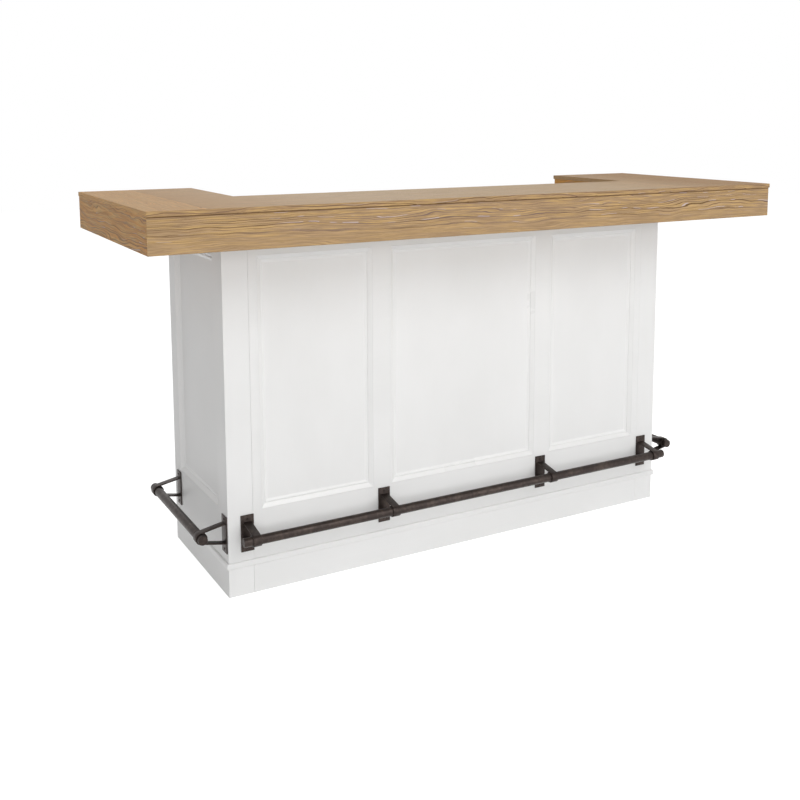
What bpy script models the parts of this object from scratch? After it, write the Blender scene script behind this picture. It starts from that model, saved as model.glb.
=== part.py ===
"""Bar counter with a U-shaped oak worktop, a panelled body and a foot rail round three sides.

Metres, +Z up. X runs along the counter, customers stand on the -Y side and the server on the +Y
side. The origin is on the floor, under the middle of the whole counter.
"""

from math import acos, atan2, copysign, cos, hypot, pi, radians, sin, sqrt
from typing import NamedTuple

import bmesh
import bpy
from mathutils import Euler, Matrix

# Whole counter
TOTAL_WIDTH = 1.9812
TOTAL_DEPTH = 0.7112
TOTAL_HEIGHT = 1.0668
FIT = 0.0003
WELD = 0.00001

# Worktop
PLATE_THICKNESS = 0.0127
PLATE_LIP = 0.004
PLATE_SIDE_LIP = 0.0015
PLATE_EASE = 0.0012
APRON_HEIGHT = 0.0886
APRON_THICKNESS = 0.019
APRON_EASE = 0.001
SIDE_OVERHANG = 0.25
FRONT_OVERHANG = 0.2372
WING_ROOM = 0.031
COUNTER_ROOM = 0.0068

# Body frames and panels
POST_WIDTH = 0.0706
POST_DEPTH = 0.075
POST_EASE = 0.0006
FRAME_THICKNESS = 0.019
END_STILE = 0.0243
MID_STILE = 0.058
REAR_STILE = 0.0543
CENTRE_OPENING = 0.500
OPENING_BOTTOM = 0.2305
OPENING_HEIGHT = 0.6885
PANEL_RECESS = 0.011
PANEL_THICKNESS = 0.008

# Panel moulding
MOULDING_SLOPE_WIDTH = 0.012
MOULDING_SLOPE_DROP = 0.0065
MOULDING_QUIRK = 0.0008
BEAD_WIDTH = 0.0055
BEAD_HEIGHT = 0.0045
BEAD_STEPS = 8

# Base cap moulding
CAP_BOTTOM = 0.079
CAP_HEIGHT = 0.0175
CAP_PROJECTION = 0.0055
CAP_ROUND = 0.0045
CAP_ROUND_STEPS = 5

# Foot rail
RAIL_RADIUS = 0.0127
RAIL_HEIGHT = 0.1755
RAIL_STANDOFF = 0.068
RAIL_END_ROUND = 0.0016
RAIL_SIDES = 32
FRONT_RAIL_OVERRUN = 0.0353
SIDE_RAIL_FRONT_OVERRUN = 0.0255
SIDE_RAIL_REAR_OVERRUN = 0.0302
OUTER_BRACKET_FROM_CORNER = 0.0534
MIDDLE_BRACKET_FROM_OPENING = 0.0255
SIDE_BRACKET_FROM_CORNER = 0.0229
SIDE_BRACKET_FROM_REAR = 0.0438

# Strap bracket
FOOT_WIDTH = 0.0366
FOOT_HEIGHT = 0.1016
FOOT_DROP = 0.0539
FOOT_THICKNESS = 0.003
FOOT_EASE = 0.0005
STRAP_WIDTH = 0.0226
STRAP_THICKNESS = 0.003
STRAP_SPREAD = 0.029
STRAP_ARC_STEPS = 16

# Server's side
REAR_SETBACK = 0.025
BOARD_THICKNESS = 0.018
KICK_HEIGHT = 0.095
KICK_SETBACK = 0.050
WORK_TOP_DROP = 0.1524
WORK_TOP_THICKNESS = 0.025
WORK_TOP_OVERHANG = 0.008
CENTRE_BAY = 0.538
SHELF_HEIGHT = 0.488
SHELF_SETBACK = 0.010
BOARD_EASE = 0.0008

# Doors and drawers
REVEAL = 0.002
FRONT_THICKNESS = 0.019
FRONT_EASE = 0.001
DOOR_STILE = 0.060
DRAWER_STILE = 0.035
FIELD_RECESS = 0.007
FIELD_SLOPE = 0.006
DRAWER_FRONT_HEIGHT = 0.162
DRAWER_BACK_ROOM = 0.030
DRAWER_SIDE_HEIGHT = 0.118
DRAWER_SIDE_ROOM = 0.0127
DRAWER_WALL = 0.012
DRAWER_FLOOR = 0.009
HINGE_RADIUS = 0.0035
HINGE_LEAF_WIDTH = 0.022
HINGE_LEAF_THICKNESS = 0.0012
HINGE_LEAF_CLEARANCE = 0.0005
HINGE_LEAF_SET = 0.0002
HINGE_KNUCKLES = 22
HINGE_SIDES = 12

# Knob
KNOB_LENGTH = 0.022
KNOB_FOOT_RADIUS = 0.008
KNOB_FOOT_HEIGHT = 0.002
KNOB_NECK_RADIUS = 0.0048
KNOB_HEAD_RADIUS = 0.014
KNOB_HEAD_HEIGHT = 0.011
KNOB_STEPS = 8
KNOB_SIDES = 24
KNOB_FROM_EDGE = 0.030
KNOB_BELOW_DOOR_TOP = 0.110

# Faces that several pieces share
BODY_X = TOTAL_WIDTH / 2 - SIDE_OVERHANG
BODY_FRONT = -TOTAL_DEPTH / 2 + FRONT_OVERHANG
BODY_REAR = TOTAL_DEPTH / 2
UNDERSIDE = TOTAL_HEIGHT - PLATE_THICKNESS - FIT
POST_X = BODY_X - POST_WIDTH
POST_REAR = BODY_FRONT + POST_DEPTH
FRAME_BACK = BODY_FRONT + FRAME_THICKNESS
INNER_X = BODY_X - FRAME_THICKNESS
APRON_BOTTOM = UNDERSIDE - APRON_HEIGHT
APRON_X = TOTAL_WIDTH / 2 - PLATE_SIDE_LIP - APRON_THICKNESS
APRON_FRONT = -TOTAL_DEPTH / 2 + PLATE_LIP + APRON_THICKNESS
APRON_REAR = TOTAL_DEPTH / 2 - PLATE_SIDE_LIP - APRON_THICKNESS
WING_BACK_X = INNER_X - WING_ROOM
COUNTER_BACK_Y = POST_REAR + COUNTER_ROOM
WING_EDGE_X = WING_BACK_X - APRON_THICKNESS - PLATE_LIP
COUNTER_EDGE_Y = COUNTER_BACK_Y + APRON_THICKNESS + PLATE_LIP
CARCASS_REAR = BODY_REAR - REAR_SETBACK
WORK_TOP_HEIGHT = TOTAL_HEIGHT - WORK_TOP_DROP
DECK_TOP = WORK_TOP_HEIGHT - WORK_TOP_THICKNESS - DRAWER_FRONT_HEIGHT - 2 * REVEAL
BAY_X = CENTRE_BAY / 2
DIVIDER_X = BAY_X + BOARD_THICKNESS
MITRE_FIT = FIT / sqrt(2)


class Finish(NamedTuple):
    """Surface of a piece: base colour, roughness and metallic value."""

    colour: tuple
    roughness: float
    metallic: float


OAK = Finish((0.479, 0.337, 0.202), 0.55, 0.0)
WHITE_PAINT = Finish((0.83, 0.83, 0.825), 0.45, 0.0)
BRONZE = Finish((0.070, 0.053, 0.048), 0.42, 0.85)

# Headings of a face: the direction it looks in, as a turn about Z from +X
RIGHT = 0.0
REAR = pi / 2
LEFT = pi
FRONT = -pi / 2


def collection(name):
    """Return a collection of this name in the scene, made if need be."""
    found = bpy.data.collections.get(name)
    if found is None:
        found = bpy.data.collections.new(name)
        bpy.context.scene.collection.children.link(found)
    return found


def clear_scene():
    """Remove every object of the scene."""
    for item in list(bpy.data.objects):
        bpy.data.objects.remove(item, do_unlink=True)


def paint(mesh, name, finish):
    """Give a mesh its own material."""
    material = bpy.data.materials.new(name + "_finish")
    material.use_nodes = True
    shader = material.node_tree.nodes["Principled BSDF"]
    shader.inputs["Base Color"].default_value = (*finish.colour, 1.0)
    shader.inputs["Roughness"].default_value = finish.roughness
    shader.inputs["Metallic"].default_value = finish.metallic
    material.diffuse_color = (*finish.colour, 1.0)
    mesh.materials.clear()
    mesh.materials.append(material)


def place(name, mesh, location, turn=(0.0, 0.0, 0.0), parent=None):
    """Put a mesh in the counter's collection as one named piece."""
    piece = bpy.data.objects.new(name, mesh)
    piece.location = location
    piece.rotation_euler = turn
    piece.parent = parent
    collection("bar_counter").objects.link(piece)
    return piece


def axis_empty(name, location):
    """Add an empty for a moving body, standing on its joint's axis."""
    empty = bpy.data.objects.new(name, None)
    empty.empty_display_size = 0.05
    empty.location = location
    collection("bar_counter").objects.link(empty)
    return empty


def mesh_from(bm, name):
    """Turn a closed bmesh into a mesh with its faces looking outwards."""
    bmesh.ops.recalc_face_normals(bm, faces=bm.faces)
    mesh = bpy.data.meshes.new(name)
    bm.to_mesh(mesh)
    bm.free()
    return mesh


def smooth(mesh, sharp_degrees=35.0):
    """Shade a round piece smooth, keeping its corners crisp."""
    mesh.shade_smooth()
    mesh.set_sharp_from_angle(angle=radians(sharp_degrees))


def baked(guide):
    """Return the evaluated shape of an object as a welded mesh, and remove the object."""
    depsgraph = bpy.context.evaluated_depsgraph_get()
    mesh = bpy.data.meshes.new_from_object(guide.evaluated_get(depsgraph))
    bm = bmesh.new()
    bm.from_mesh(mesh)
    bmesh.ops.remove_doubles(bm, verts=bm.verts, dist=WELD)
    bmesh.ops.recalc_face_normals(bm, faces=bm.faces)
    bm.to_mesh(mesh)
    bm.free()
    bpy.data.objects.remove(guide, do_unlink=True)
    return mesh


def guide_object(name, data):
    """Add a helper object that shapes a piece and isn't one itself."""
    guide = bpy.data.objects.new(name, data)
    guide.hide_render = True
    guide.display_type = "WIRE"
    collection("cutters").objects.link(guide)
    return guide


def combined(body, tool, operation):
    """Join a tool to a body, or cut it away, and return the result as one mesh."""
    body_guide = guide_object("body", body)
    tool_guide = guide_object("tool", tool)
    boolean = body_guide.modifiers.new("combine", "BOOLEAN")
    boolean.operation = operation
    boolean.object = tool_guide
    mesh = baked(body_guide)
    bpy.data.objects.remove(tool_guide, do_unlink=True)
    return mesh


def box_mesh(name, size, centre=(0.0, 0.0, 0.0)):
    """Return a box of the given size about a centre."""
    bm = bmesh.new()
    bmesh.ops.create_cube(bm, size=1.0)
    bmesh.ops.scale(bm, vec=size, verts=bm.verts)
    bmesh.ops.translate(bm, vec=centre, verts=bm.verts)
    return mesh_from(bm, name)


def eased_mesh(mesh, width, butts=()):
    """Ease a box's edges, except those of the faces that butt against a neighbour.

    Each butt is an axis number and the side of the box on that axis, -1 or +1.
    """
    bm = bmesh.new()
    bm.from_mesh(mesh)

    def on_butt(edge):
        return any(all(vert.co[axis] * side > 0 for vert in edge.verts) for axis, side in butts)

    edges = [edge for edge in bm.edges if not on_butt(edge)]
    bmesh.ops.bevel(bm, geom=edges, offset=width, segments=1, affect="EDGES")
    bm.to_mesh(mesh)
    bm.free()
    return mesh


def board(name, low, high, finish, ease=BOARD_EASE, butts=()):
    """Add a rectangular board between two corners, with eased edges."""
    size = [b - a for a, b in zip(low, high)]
    centre = [(a + b) / 2 for a, b in zip(low, high)]
    mesh = eased_mesh(box_mesh(name, size), ease, butts)
    paint(mesh, name, finish)
    return place(name, mesh, centre)


def outline_mesh(name, loops, thickness):
    """Fill loops in the XY plane, the later ones being holes, and thicken them both ways."""
    curve = bpy.data.curves.new(name, "CURVE")
    curve.dimensions = "2D"
    curve.fill_mode = "BOTH"
    curve.extrude = thickness / 2
    for loop in loops:
        spline = curve.splines.new("POLY")
        spline.points.add(len(loop) - 1)
        for point, (x, y) in zip(spline.points, loop):
            point.co = (x, y, 0.0, 1.0)
        spline.use_cyclic_u = True
    return baked(guide_object(name, curve))


def rectangle(x_low, x_high, y_low, y_high):
    """Return a rectangle's corners, counter-clockwise."""
    return [(x_low, y_low), (x_high, y_low), (x_high, y_high), (x_low, y_high)]


def arc(centre, radius, start, end, steps):
    """Return points along an arc, both ends included."""
    angles = [start + (end - start) * step / steps for step in range(steps + 1)]
    return [(centre[0] + radius * cos(a), centre[1] + radius * sin(a)) for a in angles]


def mitred_ring(name, profile, width, height):
    """Carry a profile round a rectangle with mitred corners.

    Each profile point is an inset from the rectangle's edge and a height along +Z.
    """
    reach = min(width, height) / 2
    bm = bmesh.new()
    corner = [bm.verts.new((reach - inset, reach - inset, lift)) for inset, lift in profile]
    edges = [bm.edges.new(pair) for pair in zip(corner, corner[1:] + corner[:1])]
    bmesh.ops.spin(bm, geom=corner + edges, cent=(0, 0, 0), axis=(0, 0, 1), angle=2 * pi, steps=4)
    bmesh.ops.remove_doubles(bm, verts=bm.verts, dist=WELD)
    for vert in bm.verts:
        vert.co.x += copysign(width / 2 - reach, vert.co.x)
        vert.co.y += copysign(height / 2 - reach, vert.co.y)
    return mesh_from(bm, name)


def mitred_run(name, profile, length, low_mitre, high_mitre):
    """Extrude a profile along Z and mitre its ends.

    X is the distance out from the face behind the run, Y is up. A mitre of +1 turns round an outer
    corner, -1 into an inner corner, and 0 leaves the end square.
    """
    mesh = outline_mesh(name, [profile], length)
    for vert in mesh.vertices:
        if vert.co.z > 0:
            vert.co.z += high_mitre * vert.co.x
        else:
            vert.co.z -= low_mitre * vert.co.x
    return mesh


def turned_mesh(name, profile, sides):
    """Turn a profile about Z. It runs from the top down the outer side, in X and Z."""
    mesh = bpy.data.meshes.new(name)
    points = [(radius, 0.0, height) for radius, height in profile]
    mesh.from_pydata(points, [(i, i + 1) for i in range(len(points) - 1)], [])
    guide = guide_object(name, mesh)
    screw = guide.modifiers.new("turn", "SCREW")
    screw.steps = sides
    screw.render_steps = sides
    screw.use_merge_vertices = True
    screw.merge_threshold = WELD
    turned = baked(guide)
    smooth(turned)
    return turned


def pair(name):
    """Return the left and right names of a piece with the sign of each one's X."""
    return ((name + "_left", -1), (name + "_right", 1))


def between(side, near, far):
    """Return two X values in rising order, given their distances from the middle on one side."""
    return tuple(sorted((side * near, side * far)))


def build_plates():
    """Lay the three plates of the worktop."""
    bottom = TOTAL_HEIGHT - PLATE_THICKNESS
    half = TOTAL_WIDTH / 2
    for name, side in pair("top"):
        x_low, x_high = between(side, WING_EDGE_X, half)
        board(
            name,
            (x_low, -TOTAL_DEPTH / 2, bottom),
            (x_high, TOTAL_DEPTH / 2, TOTAL_HEIGHT),
            OAK,
            PLATE_EASE,
            butts=((0, -side),),
        )
    board(
        "top_centre",
        (-WING_EDGE_X + FIT, -TOTAL_DEPTH / 2, bottom),
        (WING_EDGE_X - FIT, COUNTER_EDGE_Y, TOTAL_HEIGHT),
        OAK,
        PLATE_EASE,
        butts=((0, -1), (0, 1)),
    )


def apron(name, heading, start, end, start_mitre, end_mitre):
    """Hang one apron board between the two ends of its back face.

    The start is the end on the left of someone who looks at the board's visible face.
    """
    profile = [
        (0.0, 0.0),
        (APRON_THICKNESS - APRON_EASE, 0.0),
        (APRON_THICKNESS, APRON_EASE),
        (APRON_THICKNESS, APRON_HEIGHT),
        (0.0, APRON_HEIGHT),
    ]
    length = hypot(end[0] - start[0], end[1] - start[1]) - 2 * MITRE_FIT
    mesh = mitred_run(name, profile, length, end_mitre, start_mitre)
    paint(mesh, name, OAK)
    middle = ((start[0] + end[0]) / 2, (start[1] + end[1]) / 2, APRON_BOTTOM)
    place(name, mesh, middle, (pi / 2, 0.0, heading))


def build_aprons():
    """Hang the eight aprons round the edge of the U."""
    front = APRON_FRONT
    rear = APRON_REAR
    inner = COUNTER_BACK_Y
    apron("apron_front", FRONT, (-APRON_X, front), (APRON_X, front), 1, 1)
    apron("apron_left", LEFT, (-APRON_X, rear), (-APRON_X, front), 1, 1)
    apron("apron_right", RIGHT, (APRON_X, front), (APRON_X, rear), 1, 1)
    apron("apron_rear_left", REAR, (-WING_BACK_X, rear), (-APRON_X, rear), 1, 1)
    apron("apron_rear_right", REAR, (APRON_X, rear), (WING_BACK_X, rear), 1, 1)
    apron("apron_inner_left", RIGHT, (-WING_BACK_X, inner), (-WING_BACK_X, rear), -1, 1)
    apron("apron_inner_right", LEFT, (WING_BACK_X, rear), (WING_BACK_X, inner), 1, -1)
    apron("apron_inner_centre", REAR, (WING_BACK_X, inner), (-WING_BACK_X, inner), -1, -1)


def moulding_profile():
    """Return the panel moulding's section: a slope, a step down, a quirk and a round bead."""
    base = -(PANEL_RECESS - FIT)
    step = FIT + MOULDING_SLOPE_WIDTH
    bead = step + MOULDING_QUIRK
    points = [(FIT, base), (FIT, 0.0), (step, -MOULDING_SLOPE_DROP), (step, base + MOULDING_QUIRK)]
    for count in range(1, BEAD_STEPS + 1):
        angle = pi * count / BEAD_STEPS
        across = bead + BEAD_WIDTH * (1 - cos(angle)) / 2
        points.append((across, base + BEAD_HEIGHT * sin(angle)))
    return points


def build_posts():
    """Stand a corner post at each end of the front."""
    for name, side in pair("post"):
        x_low, x_high = between(side, POST_X, BODY_X)
        board(
            name,
            (x_low, BODY_FRONT, 0.0),
            (x_high, POST_REAR, UNDERSIDE),
            WHITE_PAINT,
            POST_EASE,
            butts=((1, 1), (2, -1), (2, 1)),
        )


def build_front():
    """Set the front frame between the posts, with its three panels and mouldings."""
    half_centre = CENTRE_OPENING / 2
    outer = POST_X - END_STILE
    inner = half_centre + MID_STILE
    opening_top = OPENING_BOTTOM + OPENING_HEIGHT
    spans = {"left": (-outer, -inner), "centre": (-half_centre, half_centre), "right": (inner, outer)}
    loops = [rectangle(-POST_X + FIT, POST_X - FIT, 0.0, UNDERSIDE)]
    loops += [rectangle(a, b, OPENING_BOTTOM, opening_top) for a, b in spans.values()]
    mesh = outline_mesh("front_frame", loops, FRAME_THICKNESS)
    paint(mesh, "front_frame", WHITE_PAINT)
    place("front_frame", mesh, (0.0, (BODY_FRONT + FRAME_BACK) / 2, 0.0), (pi / 2, 0.0, 0.0))
    for key, (x_low, x_high) in spans.items():
        panel_front = BODY_FRONT + PANEL_RECESS
        board(
            "front_panel_" + key,
            (x_low + FIT, panel_front, OPENING_BOTTOM + FIT),
            (x_high - FIT, panel_front + PANEL_THICKNESS, opening_top - FIT),
            WHITE_PAINT,
        )
        name = "front_moulding_" + key
        mesh = mitred_ring(name, moulding_profile(), x_high - x_low, OPENING_HEIGHT)
        paint(mesh, name, WHITE_PAINT)
        middle = ((x_low + x_high) / 2, BODY_FRONT, OPENING_BOTTOM + OPENING_HEIGHT / 2)
        place(name, mesh, middle, (pi / 2, 0.0, 0.0))


def build_sides():
    """Set the side frames behind the posts, with their panels and mouldings."""
    opening_rear = BODY_REAR - REAR_STILE
    opening_top = OPENING_BOTTOM + OPENING_HEIGHT
    notch_y = APRON_REAR - FIT
    notch_z = APRON_BOTTOM - FIT
    y_low = POST_REAR + FIT
    loop = [
        (y_low, 0.0),
        (BODY_REAR, 0.0),
        (BODY_REAR, notch_z),
        (notch_y, notch_z),
        (notch_y, UNDERSIDE),
        (y_low, UNDERSIDE),
        (y_low, opening_top),
        (opening_rear, opening_top),
        (opening_rear, OPENING_BOTTOM),
        (y_low, OPENING_BOTTOM),
    ]
    opening_width = opening_rear - POST_REAR
    opening_middle = (POST_REAR + opening_rear) / 2
    for name, side in pair("side_frame"):
        mesh = outline_mesh(name, [loop], FRAME_THICKNESS)
        paint(mesh, name, WHITE_PAINT)
        place(name, mesh, (side * (BODY_X + INNER_X) / 2, 0.0, 0.0), (pi / 2, 0.0, pi / 2))
    for name, side in pair("side_panel"):
        face = BODY_X - PANEL_RECESS
        x_low, x_high = between(side, face - PANEL_THICKNESS, face)
        board(
            name,
            (x_low, POST_REAR + FIT, OPENING_BOTTOM + FIT),
            (x_high, opening_rear - FIT, opening_top - FIT),
            WHITE_PAINT,
        )
    for name, side in pair("side_moulding"):
        mesh = mitred_ring(name, moulding_profile(), opening_width, OPENING_HEIGHT)
        paint(mesh, name, WHITE_PAINT)
        middle = (side * BODY_X, opening_middle, OPENING_BOTTOM + OPENING_HEIGHT / 2)
        place(name, mesh, middle, (pi / 2, 0.0, side * pi / 2))


def cap_profile():
    """Return the base cap's section: a nose with both of its corners rounded."""
    centre_x = CAP_PROJECTION - CAP_ROUND
    points = [(FIT, 0.0)]
    points += arc((centre_x, CAP_ROUND), CAP_ROUND, -pi / 2, 0.0, CAP_ROUND_STEPS)
    points += arc((centre_x, CAP_HEIGHT - CAP_ROUND), CAP_ROUND, 0.0, pi / 2, CAP_ROUND_STEPS)
    points.append((FIT, CAP_HEIGHT))
    return points


def build_base_cap():
    """Plant the cap moulding on the foot of the body, mitred at the two front corners."""
    front_length = 2 * (BODY_X - MITRE_FIT)
    mesh = mitred_run("cap_front", cap_profile(), front_length, 1, 1)
    paint(mesh, "cap_front", WHITE_PAINT)
    place("cap_front", mesh, (0.0, BODY_FRONT, CAP_BOTTOM), (pi / 2, 0.0, FRONT))
    side_length = BODY_REAR - BODY_FRONT - MITRE_FIT
    middle = (BODY_REAR + BODY_FRONT + MITRE_FIT) / 2
    for name, side in pair("cap"):
        mitres = (1, 0) if side < 0 else (0, 1)
        mesh = mitred_run(name, cap_profile(), side_length, *mitres)
        paint(mesh, name, WHITE_PAINT)
        heading = LEFT if side < 0 else RIGHT
        place(name, mesh, (side * BODY_X, middle, CAP_BOTTOM), (pi / 2, 0.0, heading))


def rail_mesh(name, length):
    """Return a round rail along Z with its two ends softly rounded."""
    half = length / 2
    nose = arc((RAIL_RADIUS - RAIL_END_ROUND, half - RAIL_END_ROUND), RAIL_END_ROUND, pi / 2, 0, 3)
    profile = [(0.0, half)] + nose + [(x, -z) for x, z in reversed(nose)] + [(0.0, -half)]
    return turned_mesh(name, profile, RAIL_SIDES)


def strap_mesh():
    """Return the strap's side view: a ring round the rail and two arms that run back to the foot.

    X is the distance out from the body and Y is up, with Y = 0 at the rail's centre. The arms
    leave the ring along its outer tangents.
    """
    ring = RAIL_RADIUS + STRAP_THICKNESS
    centre = (RAIL_STANDOFF, 0.0)
    foot_face = FIT + FOOT_THICKNESS
    foot_middle = FIT + FOOT_THICKNESS / 2
    reach = RAIL_STANDOFF - foot_face
    tangent = pi - atan2(STRAP_SPREAD, reach) - acos(ring / hypot(reach, STRAP_SPREAD))
    slope = tangent - pi / 2
    outer = [(foot_middle - STRAP_THICKNESS / 8, STRAP_SPREAD), (foot_face, STRAP_SPREAD)]
    outer += arc(centre, ring, tangent, -tangent, STRAP_ARC_STEPS)
    outer += [(x, -y) for x, y in reversed(outer[:2])]
    inner_ring = tangent + acos((ring - STRAP_THICKNESS) / ring)
    inner_spread = STRAP_SPREAD - STRAP_THICKNESS / cos(slope)
    opening = [(foot_middle + STRAP_THICKNESS / 8, inner_spread), (foot_face, inner_spread)]
    opening += arc(centre, ring, inner_ring, 2 * pi - inner_ring, STRAP_ARC_STEPS)
    opening += [(x, -y) for x, y in reversed(opening[:2])]
    bore_radius = (RAIL_RADIUS + FIT) / cos(pi / RAIL_SIDES)
    bore = arc(centre, bore_radius, 0.0, 2 * pi * (1 - 1 / RAIL_SIDES), RAIL_SIDES - 1)
    return outline_mesh("strap", [outer, opening, bore], STRAP_WIDTH)


def bracket_mesh():
    """Return a bracket: the bent strap joined to the flat foot that is screwed to the body."""
    size = (FOOT_THICKNESS, FOOT_HEIGHT, FOOT_WIDTH)
    middle = (FIT + FOOT_THICKNESS / 2, FOOT_HEIGHT / 2 - FOOT_DROP, 0.0)
    foot = eased_mesh(box_mesh("foot", size), FOOT_EASE, butts=((0, -1),))
    foot.transform(Matrix.Translation(middle))
    mesh = combined(foot, strap_mesh(), "UNION")
    mesh.name = "bracket"
    smooth(mesh)
    return mesh


def build_foot_rail():
    """Carry the rail round the front and both sides on its brackets."""
    bracket = bracket_mesh()
    paint(bracket, "bracket", BRONZE)
    outer = BODY_X - OUTER_BRACKET_FROM_CORNER
    middle = CENTRE_OPENING / 2 + MIDDLE_BRACKET_FROM_OPENING
    for count, x in enumerate((-outer, -middle, middle, outer), start=1):
        name = "bracket_front_" + str(count)
        place(name, bracket, (x, BODY_FRONT, RAIL_HEIGHT), (pi / 2, 0.0, FRONT))
    front = rail_mesh("rail_front", 2 * (outer + FRONT_RAIL_OVERRUN))
    paint(front, "rail_front", BRONZE)
    place("rail_front", front, (0.0, BODY_FRONT - RAIL_STANDOFF, RAIL_HEIGHT), (0.0, pi / 2, 0.0))
    first = BODY_FRONT + SIDE_BRACKET_FROM_CORNER
    last = BODY_REAR - SIDE_BRACKET_FROM_REAR
    for name, side in pair("bracket"):
        turn = (pi / 2, 0.0, LEFT if side < 0 else RIGHT)
        for count, y in enumerate((first, last), start=1):
            place(name + "_" + str(count), bracket, (side * BODY_X, y, RAIL_HEIGHT), turn)
    low = first - SIDE_RAIL_FRONT_OVERRUN
    high = last + SIDE_RAIL_REAR_OVERRUN
    for name, side in pair("rail"):
        mesh = rail_mesh(name, high - low)
        paint(mesh, name, BRONZE)
        x = side * (BODY_X + RAIL_STANDOFF)
        place(name, mesh, (x, (low + high) / 2, RAIL_HEIGHT), (-pi / 2, 0.0, 0.0))


def notched_board(name, rear, low, high):
    """Add a board that fills the body from side to side, cut round the two posts."""
    wide = INNER_X - FIT
    narrow = POST_X - FIT
    front = FRAME_BACK + FIT
    behind_post = POST_REAR + FIT
    loop = [
        (-wide, behind_post),
        (-narrow, behind_post),
        (-narrow, front),
        (narrow, front),
        (narrow, behind_post),
        (wide, behind_post),
        (wide, rear),
        (-wide, rear),
    ]
    mesh = outline_mesh(name, [loop], high - low)
    paint(mesh, name, WHITE_PAINT)
    place(name, mesh, (0.0, 0.0, (low + high) / 2))


def build_carcass():
    """Fit the boards of the server's side: floor, kick board, dividers, decks, shelf and top."""
    floor_top = KICK_HEIGHT + BOARD_THICKNESS
    top_bottom = WORK_TOP_HEIGHT - WORK_TOP_THICKNESS
    notched_board("bottom_board", CARCASS_REAR, KICK_HEIGHT, floor_top)
    notched_board("work_top", CARCASS_REAR + WORK_TOP_OVERHANG, top_bottom, WORK_TOP_HEIGHT)
    kick_rear = CARCASS_REAR - KICK_SETBACK
    board(
        "kick_board",
        (-INNER_X + FIT, kick_rear - BOARD_THICKNESS, 0.0),
        (INNER_X - FIT, kick_rear, KICK_HEIGHT - FIT),
        WHITE_PAINT,
    )
    for name, side in pair("divider"):
        x_low, x_high = between(side, BAY_X, DIVIDER_X)
        board(
            name,
            (x_low, FRAME_BACK + FIT, floor_top + FIT),
            (x_high, CARCASS_REAR, top_bottom - FIT),
            WHITE_PAINT,
        )
    for name, side in pair("drawer_deck"):
        x_low, x_high = between(side, DIVIDER_X + FIT, INNER_X - FIT)
        board(
            name,
            (x_low, POST_REAR + FIT, DECK_TOP - BOARD_THICKNESS),
            (x_high, CARCASS_REAR, DECK_TOP),
            WHITE_PAINT,
        )
    board(
        "centre_shelf",
        (-BAY_X + FIT, FRAME_BACK + FIT, SHELF_HEIGHT - BOARD_THICKNESS),
        (BAY_X - FIT, CARCASS_REAR - SHELF_SETBACK, SHELF_HEIGHT),
        WHITE_PAINT,
    )


def recessed_front_mesh(name, width, height, stile):
    """Return a door or drawer front along X and Z whose +Y face has a recessed field."""
    bm = bmesh.new()
    bm.from_mesh(eased_mesh(box_mesh(name, (width, FRONT_THICKNESS, height)), FRONT_EASE))
    face = max(bm.faces, key=lambda item: item.calc_center_median().y)
    bmesh.ops.inset_region(bm, faces=[face], thickness=stile - FRONT_EASE)
    bmesh.ops.inset_region(bm, faces=[face], thickness=FIELD_SLOPE, depth=-FIELD_RECESS)
    return mesh_from(bm, name)


def knob_mesh():
    """Return a turned knob that stands on its foot along +Z."""
    head_low = KNOB_LENGTH - KNOB_HEAD_HEIGHT
    head_middle = KNOB_LENGTH - KNOB_HEAD_HEIGHT / 2
    profile = []
    for count in range(KNOB_STEPS + 1):
        angle = pi / 2 - pi * count / KNOB_STEPS
        swell = KNOB_HEAD_RADIUS * cos(angle) if count < KNOB_STEPS else KNOB_NECK_RADIUS
        profile.append((swell, head_middle + KNOB_HEAD_HEIGHT / 2 * sin(angle)))
    profile[0] = (0.0, KNOB_LENGTH)
    waist = (head_low + KNOB_FOOT_HEIGHT) / 2
    profile += [
        (KNOB_NECK_RADIUS, waist),
        (KNOB_FOOT_RADIUS, KNOB_FOOT_HEIGHT),
        (KNOB_FOOT_RADIUS, 0.0),
        (0.0, 0.0),
    ]
    return turned_mesh("knob", profile, KNOB_SIDES)


def hinge_leaf_mesh(name, length, leaf_x, first_knuckle):
    """Return one leaf of a continuous hinge along Z, with every second knuckle of its barrel.

    The barrel's axis is the Z axis, leaf_x is the X of the leaf's middle, and the leaf runs from
    the barrel towards -Y. It is cut back beside the barrel, except for a tab to each knuckle.
    """
    pitch = length / HINGE_KNUCKLES
    edge = -HINGE_RADIUS - HINGE_LEAF_CLEARANCE
    comb = [(edge, length / 2), (-HINGE_LEAF_WIDTH, length / 2)]
    comb += [(-HINGE_LEAF_WIDTH, -length / 2), (edge, -length / 2)]
    bm = bmesh.new()
    for count in range(first_knuckle, HINGE_KNUCKLES, 2):
        low = -length / 2 + count * pitch + FIT / 2
        high = low + pitch - FIT
        tab_low = low + HINGE_LEAF_SET
        tab_high = high - HINGE_LEAF_SET
        comb += [(edge, tab_low), (0.0, tab_low), (0.0, tab_high), (edge, tab_high)]
        bmesh.ops.create_cone(
            bm,
            cap_ends=True,
            segments=HINGE_SIDES,
            radius1=HINGE_RADIUS,
            radius2=HINGE_RADIUS,
            depth=high - low,
            matrix=Matrix.Translation((0.0, 0.0, (low + high) / 2)),
        )
    leaf = outline_mesh("leaf", [comb], HINGE_LEAF_THICKNESS)
    upright = Euler((pi / 2, 0.0, pi / 2)).to_matrix().to_4x4()
    leaf.transform(Matrix.Translation((leaf_x, 0.0, 0.0)) @ upright)
    mesh = combined(leaf, mesh_from(bm, "knuckles"), "UNION")
    mesh.name = name
    smooth(mesh)
    return mesh


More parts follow.
